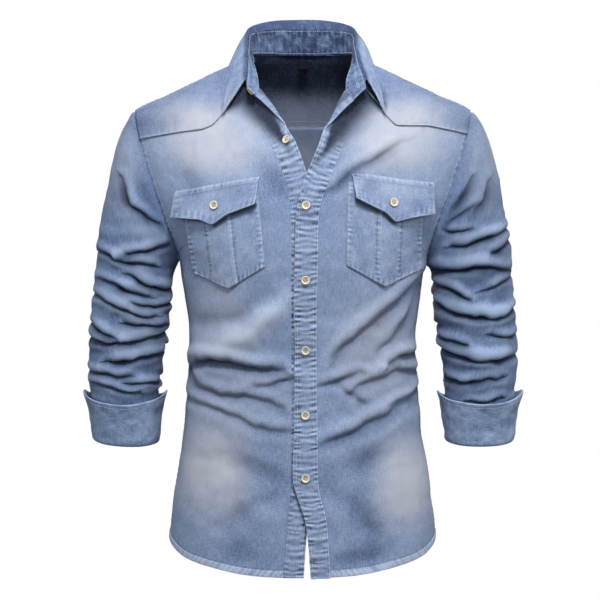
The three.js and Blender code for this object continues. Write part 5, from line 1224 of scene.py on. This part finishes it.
def dress_pocket(name, tab, pl, seed, side):
    nr, nc = 74, 68
    X, Z, A, K = patch_grid(tab, nr, nc, None)
    flat = np.stack([X, 0 * X, Z], -1)
    u, v = arc(flat, 1), arc(flat, 0)
    dside, dbot = np.minimum(u, u[:, -1:] - u), v[-1:] - v
    d = np.minimum(dside, dbot)
    step = smooth(0, 0.022, A - pl[0]) * smooth(0, 0.022, pl[1] - A)
    pk = 0.75 * pucker(v, seed, 7.0) * np.exp(-((dside - 3) / 4) ** 2) + 0.8 * pucker(u, seed + 3, 7.0) * np.exp(-((dbot - 3) / 5) ** 2)
    pkp = 0.65 * pucker(v, seed + 5, 6.5) * (np.exp(-((A - pl[0]) / 0.03) ** 2) + np.exp(-((A - pl[1]) / 0.03) ** 2))
    slack = 1.8 * np.sin(np.pi * A) * np.sin(np.pi * np.clip(K * 1.0, 0, 1)) * (1 + 0.5 * noise2(u / 30, v / 30, seed + 7))
    groove = -0.35 * np.exp(-((d - 2.2) / 0.8) ** 2)
    off = 2.3 + step * 1.5 + pk + pkp + slack * 0.8 + groove - 0.5 * np.exp(-d / 1.0)
    g, h = on_front(X, Z, off)
    tone = 0.12 * np.exp(-((d - 2) / 2.5) ** 2) + 0.45 * (pk + pkp) + 0.10 * noise2(u / 9, v / 9, seed + 9) + 0.16 * (np.exp(-((A - pl[0] - 0.01) / 0.012) ** 2) + np.exp(-((A - pl[1] + 0.01) / 0.012) ** 2)) - 0.26 * (np.exp(-((A - pl[0] + 0.015) / 0.012) ** 2) + np.exp(-((A - pl[1] - 0.015) / 0.012) ** 2))
    # painted shadow under the flap
    ob = make_grid(name, g, denim_body, 1.5, {"fade": fade_at(FADES_FRONT, g[..., 0], g[..., 2]), "fold": h + slack, "edge": d, "tone": tone, "shade": 0.8 * under_flap(g[..., 0], g[..., 2], FLAP_RIGHT if side < 0 else FLAP_LEFT)}, out=np.array((0, 60.0, -250.0)))
    keep(ob, name)
    n = grid_normals(g)
    n *= -np.sign(np.mean(n[..., 1]))
    rows = np.linspace(2, nr - 1, 200)
    for e_ in (0, 1):
        for dd in (2.2,):
            cl = []
            for r in rows:
                x = u[int(r)] if e_ == 0 else (u[int(r)][-1] - u[int(r)])[::-1]
                c = np.interp(dd, x, np.arange(nc))
                cl.append(c if e_ == 0 else nc - 1 - c)
            stitches.line("stitches_pockets", sample(g, rows, np.array(cl)), sample(n, rows, np.array(cl)), pitch=2.8)
    cols = np.linspace(1, nc - 2, 200)
    rr = np.array([np.interp(-2.2, -dbot[:, int(c)], np.arange(nr)) for c in cols])
    stitches.line("stitches_pockets", sample(g, rr, cols), sample(n, rr, cols), pitch=2.8)
    for c in (pl[0] + 0.035, pl[1] - 0.035):
        rr = np.linspace(10, nr - 3, 150)
        stitches.line("stitches_pockets", sample(g, rr, c * (nc - 1)), sample(n, rr, c * (nc - 1)), pitch=2.8)
    return g


g_pr = dress_pocket("pocket_right", BAG_RIGHT, (0.3, 0.62), 901, -1)
g_pl = dress_pocket("pocket_left", BAG_LEFT, (0.38, 0.68), 921, 1)


def dress_flap(name, tab, seed, side):
    nr, nc = 44, 86
    a = np.linspace(0, 1, nc)
    ker = np.hanning(9)
    ker /= ker.sum()
    tab2 = []
    fine = np.linspace(0, 1, nc)
    for c in range(1, 5):
        vline = np.interp(fine, tab[:, 0], tab[:, c])
        tab2.append(np.convolve(np.pad(vline, 4, mode="reflect", reflect_type="odd"), ker, "valid"))
    k = np.linspace(0, 1, nr)[:, None]
    X = tab2[0][None] + (tab2[2] - tab2[0])[None] * k
    Z = tab2[1][None] + (tab2[3] - tab2[1])[None] * k
    A, K = np.broadcast_arrays(fine[None], k)
    flat = np.stack([X, 0 * X, Z], -1)
    u, v = arc(flat, 1), arc(flat, 0)
    dside, dbot = np.minimum(u, u[:, -1:] - u), v[-1:] - v
    d = np.minimum(dside, dbot)
    pk = 0.5 * pucker(u, seed, 7.0) * np.exp(-((dbot - 5) / 5) ** 2) + 0.5 * pucker(u, seed + 2, 7.0) * np.exp(-((v - 3) / 4) ** 2) + 0.4 * pucker(v, seed + 4, 7.0) * np.exp(-((dside - 5) / 5) ** 2)
    wav = 1.1 * noise2(u / 22, v / 18, seed + 6)
    lift = 4.0 + 6.0 * K ** 2 + 1.6 * np.exp(-((u / u[:, -1:]) / 0.12) ** 2) * K + 1.6 * np.exp(-((1 - u / u[:, -1:]) / 0.12) ** 2) * K
    lift = lift * smooth(-1.0, 5.0, v) + 0.6
    off = lift + pk + wav * K - 0.35 * np.exp(-((d - 5) / 0.9) ** 2)
    g, h = on_front(X, Z, off + 1.4)
    tone = 0.05 + 0.42 * pk + 0.08 * wav + 0.10 * np.exp(-((v - 1.5) / 2) ** 2) - 0.14 * np.exp(-((v - 8) / 2) ** 2) - 0.14 * np.exp(-((d - 5) / 0.9) ** 2)
    ob = make_grid(name, g, denim_body, 2.0, {"fade": fade_at(FADES_FRONT, g[..., 0], g[..., 2]), "fold": h + wav, "edge": d, "tone": tone}, out=np.array((0, 60.0, -250.0)))
    keep(ob, name)
    n = grid_normals(g)
    n *= -np.sign(np.mean(n[..., 1]))
    cols = np.linspace(2, nc - 3, 220)
    rr = np.array([np.interp(-5.0, -dbot[:, int(c)], np.arange(nr)) for c in cols])
    stitches.line("stitches_pockets", sample(g, rr, cols), sample(n, rr, cols), pitch=2.8)
    rr = np.array([np.interp(2.0, v[:, int(c)], np.arange(nr)) for c in cols])
    stitches.line("stitches_pockets", sample(g, rr, cols), sample(n, rr, cols), pitch=2.8)
    rr = np.array([np.interp(7.0, v[:, int(c)], np.arange(nr)) for c in cols])
    stitches.line("stitches_pockets", sample(g, rr, cols), sample(n, rr, cols), pitch=2.8)
    rows = np.linspace(6, nr - 6, 120)
    for e_ in (0, 1):
        cl = []
        for r in rows:
            x = u[int(r)] if e_ == 0 else (u[int(r)][-1] - u[int(r)])[::-1]
            c = np.interp(5.0, x, np.arange(nc))
            cl.append(c if e_ == 0 else nc - 1 - c)
        stitches.line("stitches_pockets", sample(g, rows, np.array(cl)), sample(n, rows, np.array(cl)), pitch=2.8)
    return g, n


g_fr, n_fr = dress_flap("flap_right", FLAP_RIGHT, 941, -1)
g_fl, n_fl = dress_flap("flap_left", FLAP_LEFT, 961, 1)

# ---- neck label: a small bare black tab
lo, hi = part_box("neck_label")
cx, cy, cz = [(lo[i] + hi[i]) / 2 * 1000 for i in range(3)]
gx, gz = np.meshgrid(np.linspace(-7, 7, 20), np.linspace(-6, 6, 18))
tilt = math.radians(-24)
g = np.stack([cx + gx, cy + 0.3 * np.sin(gx * 0.5) - np.sin(-tilt) * gz * -1.0, cz + np.cos(tilt) * gz], -1)
mat = bpy.data.materials.new("label_black")
mat.use_nodes = True
nt = mat.node_tree
bs = nt.nodes["Principled BSDF"]
uvn = _node(nt, "ShaderNodeUVMap", uv_map="UVMap")
wv = _node(nt, "ShaderNodeTexWave", wave_type="BANDS")
wv.inputs["Scale"].default_value = 900.0
nt.links.new(uvn.outputs[0], wv.inputs["Vector"])
mx = _node(nt, "ShaderNodeMix", data_type="RGBA")
mx.inputs[6].default_value, mx.inputs[7].default_value = srgb(9, 10, 14), srgb(20, 21, 27)
nt.links.new(wv.outputs["Fac"], mx.inputs[0])
nt.links.new(mx.outputs[2], bs.inputs["Base Color"])
bs.inputs["Roughness"].default_value = 0.8
bs.inputs["Specular IOR Level"].default_value = 0.1
ob = make_grid("label_tab", g, mat, 0.7, {"fade": 0.0})
keep(ob, "neck_label")


# ---- buttons
def button_material():
    mat = bpy.data.materials.new("button_bone")
    mat.use_nodes = True
    nt = mat.node_tree
    bs = nt.nodes["Principled BSDF"]
    at = _node(nt, "ShaderNodeAttribute", attribute_name="rim")
    tc = _node(nt, "ShaderNodeTexCoord")
    no = _node(nt, "ShaderNodeTexNoise")
    no.inputs["Scale"].default_value = 260.0
    no.inputs["Detail"].default_value = 4.0
    nt.links.new(tc.outputs["Object"], no.inputs["Vector"])
    mp = _node(nt, "ShaderNodeMapping")
    mp.inputs["Scale"].default_value = (300, 90, 300)
    nt.links.new(tc.outputs["Object"], mp.inputs["Vector"])
    gr = _node(nt, "ShaderNodeTexNoise")
    gr.inputs["Scale"].default_value = 1.0
    nt.links.new(mp.outputs[0], gr.inputs["Vector"])
    a = _node(nt, "ShaderNodeMix", data_type="RGBA")
    a.inputs[6].default_value, a.inputs[7].default_value = srgb(229, 222, 207), srgb(207, 197, 176)
    nt.links.new(gr.outputs["Fac"], a.inputs[0])
    b = _node(nt, "ShaderNodeMix", data_type="RGBA")
    b.inputs[7].default_value = srgb(128, 98, 66)
    nt.links.new(a.outputs[2], b.inputs[6])
    nt.links.new(at.outputs["Fac"], b.inputs[0])
    nt.links.new(b.outputs[2], bs.inputs["Base Color"])
    ro = _node(nt, "ShaderNodeMath", operation="MULTIPLY_ADD")
    ro.inputs[1].default_value, ro.inputs[2].default_value = 0.2, 0.3
    nt.links.new(no.outputs["Fac"], ro.inputs[0])
    nt.links.new(ro.outputs[0], bs.inputs["Roughness"])
    return mat


bone = button_material()
# radius, height of a button's top; the rim stands over a dished middle
PROFILE = [(0.0, 1.35), (2.6, 1.35), (3.5, 1.55), (4.1, 2.1), (4.7, 2.5), (5.3, 2.55), (5.8, 2.2), (6.0, 1.6), (5.9, 0.9), (5.2, 0.35), (4.0, 0.1), (0.0, 0.0)]


def button_mesh():
    bm = bmesh.new()
    K = 28
    rings = []
    for r, z in PROFILE:
        if r == 0:
            rings.append([bm.verts.new((0, 0, z * MM))])
        else:
            rings.append([bm.verts.new((r * MM * math.cos(2 * math.pi * i / K), r * MM * math.sin(2 * math.pi * i / K), z * MM)) for i in range(K)])
    for A_, B_ in zip(rings[:-1], rings[1:]):
        for i in range(K):
            j = (i + 1) % K
            if len(A_) == 1:
                bm.faces.new((A_[0], B_[i], B_[j]))
            elif len(B_) == 1:
                bm.faces.new((A_[i], B_[0], A_[j]))
            else:
                bm.faces.new((A_[i], B_[i], B_[j], A_[j]))
    bmesh.ops.recalc_face_normals(bm, faces=bm.faces)
    me = bpy.data.meshes.new("button_blank")
    bm.to_mesh(me)
    bm.free()
    ob = bpy.data.objects.new("button_blank", me)
    bpy.context.scene.collection.objects.link(ob)
    bm = bmesh.new()
    for sx, sy in ((1, 1), (-1, 1), (-1, -1), (1, -1)):
        m_ = bmesh.ops.create_cone(bm, cap_ends=True, segments=14, radius1=0.95 * MM, radius2=0.95 * MM, depth=8 * MM)
        for v_ in m_["verts"]:
            v_.co.x += sx * 1.5 * MM
            v_.co.y += sy * 1.5 * MM
    cut = bpy.data.meshes.new("cut")
    bm.to_mesh(cut)
    bm.free()
    co_ = bpy.data.objects.new("cut", cut)
    bpy.context.scene.collection.objects.link(co_)
    md = ob.modifiers.new("holes", "BOOLEAN")
    md.operation, md.object, md.solver = "DIFFERENCE", co_, "EXACT"
    dg = bpy.context.evaluated_depsgraph_get()
    out_me = bpy.data.meshes.new_from_object(ob.evaluated_get(dg))
    bpy.data.objects.remove(ob)
    bpy.data.objects.remove(co_)
    co_arr = np.empty(len(out_me.vertices) * 3)
    out_me.vertices.foreach_get("co", co_arr)
    co_arr = co_arr.reshape(-1, 3) * 1000
    rad = np.hypot(co_arr[:, 0], co_arr[:, 1])
    at = out_me.attributes.new("rim", "FLOAT", "POINT")
    val = np.clip((rad - 5.2) / 0.7, 0, 1) * 0.7 + 0.35 * np.exp(-((rad - 3.6) / 0.45) ** 2) + 0.62 * np.exp(-(rad / 2.3) ** 2)
    at.data.foreach_set("value", np.clip(val, 0, 1).astype(np.float32))
    return out_me


BUTTON = button_mesh()


def place_button(node, p, n, spin=0.0):
    """A button with its back at p (mm), facing n, and its thread."""
    n = Vector(n).normalized()
    q = n.to_track_quat("Z", "Y")
    me = BUTTON.copy()
    me.name = node
    cs, sn_ = math.cos(spin), math.sin(spin)
    from mathutils import Matrix
    M = Matrix.Translation(Vector(p) * MM) @ q.to_matrix().to_4x4() @ Matrix.Rotation(spin, 4, "Z")
    me.transform(M)
    me.materials.clear()
    me.materials.append(bone)
    for pl_ in me.polygons:
        pl_.use_smooth = True
    ob = bpy.data.objects.new(node + "_disc", me)
    bpy.context.scene.collection.objects.link(ob)
    me.set_sharp_from_angle(angle=math.radians(40))
    keep(ob, node)
    # two bars of thread across the four holes
    R3 = np.array((M.to_3x3() @ Vector((1, 0, 0)), M.to_3x3() @ Vector((0, 1, 0)), M.to_3x3() @ Vector((0, 0, 1))))
    c0 = np.array(p)
    for sx in (-1, 1):
        for dx in (-0.25, 0.25):
            pts = []
            for t_ in np.linspace(-1, 1, 9):
                pts.append(c0 + R3[0] * (sx * 1.5 + dx) + R3[1] * (1.5 * t_) + R3[2] * (0.7 + 1.05 * (1 - t_ ** 6)))
            stitches.line("button_threads", pts, np.repeat(R3[2][None], 9, 0), pitch=3.0, share=1.0, r=0.42, lift=0.14)


def front_normal(x, z):
    a, b, c, d_ = (on_front(np.array(x + 5.0), np.array(z))[0], on_front(np.array(x - 5.0), np.array(z))[0], on_front(np.array(x), np.array(z + 5.0))[0], on_front(np.array(x), np.array(z - 5.0))[0])
    n = np.cross(a - b, c - d_)
    n /= np.linalg.norm(n)
    return n if n[1] < 0 else -n


FRONT_BUTTONS = [(2, 4.6, -191), (3, 3.8, -289), (4, 3.8, -383), (5, 3.6, -470), (6, 3.8, -554)]
for i, x, z in FRONT_BUTTONS:
    n = front_normal(x, z)
    place_button("button_%d" % i, on_front(np.array(float(x)), np.array(float(z)))[0] + n * 1.7, n, 0.2 * i)
n = front_normal(-21.5, -103.0)
n = n + np.array((-0.7, 0, 0.0))
place_button("button_1", on_front(np.array(-19.5), np.array(-106.0))[0] + n * 1.8, n, 0.4)
for node, x, z, gg, nn_ in (("button_pocket_right", -116.5, -191.0, g_fr, n_fr), ("button_pocket_left", 120.4, -187.5, g_fl, n_fl)):
    i_, j_ = np.unravel_index(np.argmin((gg[..., 0] - x) ** 2 + (gg[..., 2] - z) ** 2), gg.shape[:2])
    place_button(node, gg[i_, j_] + nn_[i_, j_] * 0.2, nn_[i_, j_], 0.3)
place_button("button_collar", (-68.5, -76.5, -40.0), (-0.72, -0.25, -0.65), 0.1)

# ---- threads become meshes
for name in ("stitches_front", "stitches_back", "stitches_collar", "stitches_cuffs", "stitches_pockets"):
    ob = stitches.build(name, thread_pale)
    if ob is not None:
        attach(ob, "root")
ob = stitches.build("button_threads", thread_brown)
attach(ob, "root")

# ------------------------------------------------------------------ stage, lights, camera
scene = bpy.context.scene
scene.view_settings.view_transform = "Standard"
scene.view_settings.look = "None"
scene.view_settings.exposure = 0.0
scene.view_settings.gamma = 1.0

world = bpy.data.worlds.new("studio")
scene.world = world
world.use_nodes = True
wt = world.node_tree
wt.nodes.clear()
lp = _node(wt, "ShaderNodeLightPath")
bg1, bg2 = _node(wt, "ShaderNodeBackground"), _node(wt, "ShaderNodeBackground")
bg1.inputs[0].default_value, bg1.inputs[1].default_value = (1, 1, 1, 1), 1.0
bg2.inputs[1].default_value = 1.0
wc, wsep, wr = _node(wt, "ShaderNodeTexCoord"), _node(wt, "ShaderNodeSeparateXYZ"), _node(wt, "ShaderNodeValToRGB")
wt.links.new(wc.outputs["Generated"], wsep.inputs[0])
wz = _node(wt, "ShaderNodeMath", operation="MULTIPLY_ADD")
wz.inputs[1].default_value, wz.inputs[2].default_value = 0.5, 0.5
wt.links.new(wsep.outputs[2], wz.inputs[0])
wt.links.new(wz.outputs[0], wr.inputs[0])
wr.color_ramp.elements[0].position, wr.color_ramp.elements[0].color = 0.2, (0.05, 0.055, 0.065, 1)
wr.color_ramp.elements[1].position, wr.color_ramp.elements[1].color = 0.95, (0.34, 0.35, 0.38, 1)
mid = wr.color_ramp.elements.new(0.5)
mid.color = (0.15, 0.16, 0.18, 1)
wt.links.new(wr.outputs[0], bg2.inputs[0])
ms, wo = _node(wt, "ShaderNodeMixShader"), _node(wt, "ShaderNodeOutputWorld")
wt.links.new(lp.outputs["Is Camera Ray"], ms.inputs[0])
wt.links.new(bg2.outputs[0], ms.inputs[1])
wt.links.new(bg1.outputs[0], ms.inputs[2])
wt.links.new(ms.outputs[0], wo.inputs[0])


def area(name, loc, target, size, power, colour=(1, 1, 1)):
    li = bpy.data.lights.new(name, "AREA")
    li.shape = "RECTANGLE"
    li.size, li.size_y = size
    li.energy = power
    li.color = colour
    ob = bpy.data.objects.new(name, li)
    scene.collection.objects.link(ob)
    ob.location = loc
    ob.rotation_euler = (Vector(target) - Vector(loc)).to_track_quat("-Z", "Y").to_euler()
    ob.visible_camera = False
    return ob


area("key", (0.15, -1.75, 1.85), (0, 0, -0.3), (0.8, 0.5), 72)
area("fill_front", (0.1, -2.7, 0.1), (0, 0, -0.35), (1.6, 1.2), 15)
area("side_right", (2.0, -1.0, 0.4), (0, 0, -0.35), (0.8, 1.6), 18)
area("side_left", (-2.0, -0.9, 0.4), (0, 0, -0.35), (0.8, 1.6), 13)
area("top_back", (0.2, 1.7, 1.8), (0, 0, -0.2), (1.6, 1.2), 16)
area("back", (-0.3, 2.6, 0.4), (0, 0, -0.35), (1.6, 1.2), 34)

# a plain pale floor, 1.45 m under the shoulders
fm = bpy.data.materials.new("floor_plain")
fm.use_nodes = True
ft = fm.node_tree
ft.nodes.clear()
flp = _node(ft, "ShaderNodeLightPath")
pale, dim = _node(ft, "ShaderNodeEmission"), _node(ft, "ShaderNodeEmission")
pale.inputs[0].default_value, dim.inputs[0].default_value = (1, 1, 1, 1), (0.06, 0.065, 0.075, 1)
fmix, fout = _node(ft, "ShaderNodeMixShader"), _node(ft, "ShaderNodeOutputMaterial")
ft.links.new(flp.outputs["Is Camera Ray"], fmix.inputs[0])
ft.links.new(dim.outputs[0], fmix.inputs[1])
ft.links.new(pale.outputs[0], fmix.inputs[2])
# seen from under, it is clear
fgeo, fclear, fside = _node(ft, "ShaderNodeNewGeometry"), _node(ft, "ShaderNodeBsdfTransparent"), _node(ft, "ShaderNodeMixShader")
ft.links.new(fgeo.outputs["Backfacing"], fside.inputs[0])
ft.links.new(fmix.outputs[0], fside.inputs[1])
ft.links.new(fclear.outputs[0], fside.inputs[2])
ft.links.new(fside.outputs[0], fout.inputs[0])
fme = bpy.data.meshes.new("floor")
fme.from_pydata([(-12, -12, -1.45), (12, -12, -1.45), (12, 12, -1.45), (-12, 12, -1.45)], [], [(0, 1, 2, 3)])
fme.materials.append(fm)
floor = bpy.data.objects.new("floor", fme)
scene.collection.objects.link(floor)

# the camera: 2.6 m off, looking 5 degrees down
ELEV, DIST, FOCAL_PX = math.radians(5.0), 2.6, 1884.0
target = Vector((-0.00345, 0.0, -0.3257))
cam_data = bpy.data.cameras.new("camera")
cam_data.sensor_width = 36.0
cam_data.sensor_fit = "AUTO"
cam_data.lens = FOCAL_PX / 600.0 * 36.0
cam_data.dof.use_dof = False
cam_data.clip_start, cam_data.clip_end = 0.1, 50
cam = bpy.data.objects.new("camera", cam_data)
scene.collection.objects.link(cam)
fwd = Vector((0, math.cos(ELEV), -math.sin(ELEV)))
cam.location = target - fwd * DIST
cam.rotation_euler = fwd.to_track_quat("-Z", "Y").to_euler()
scene.camera = cam
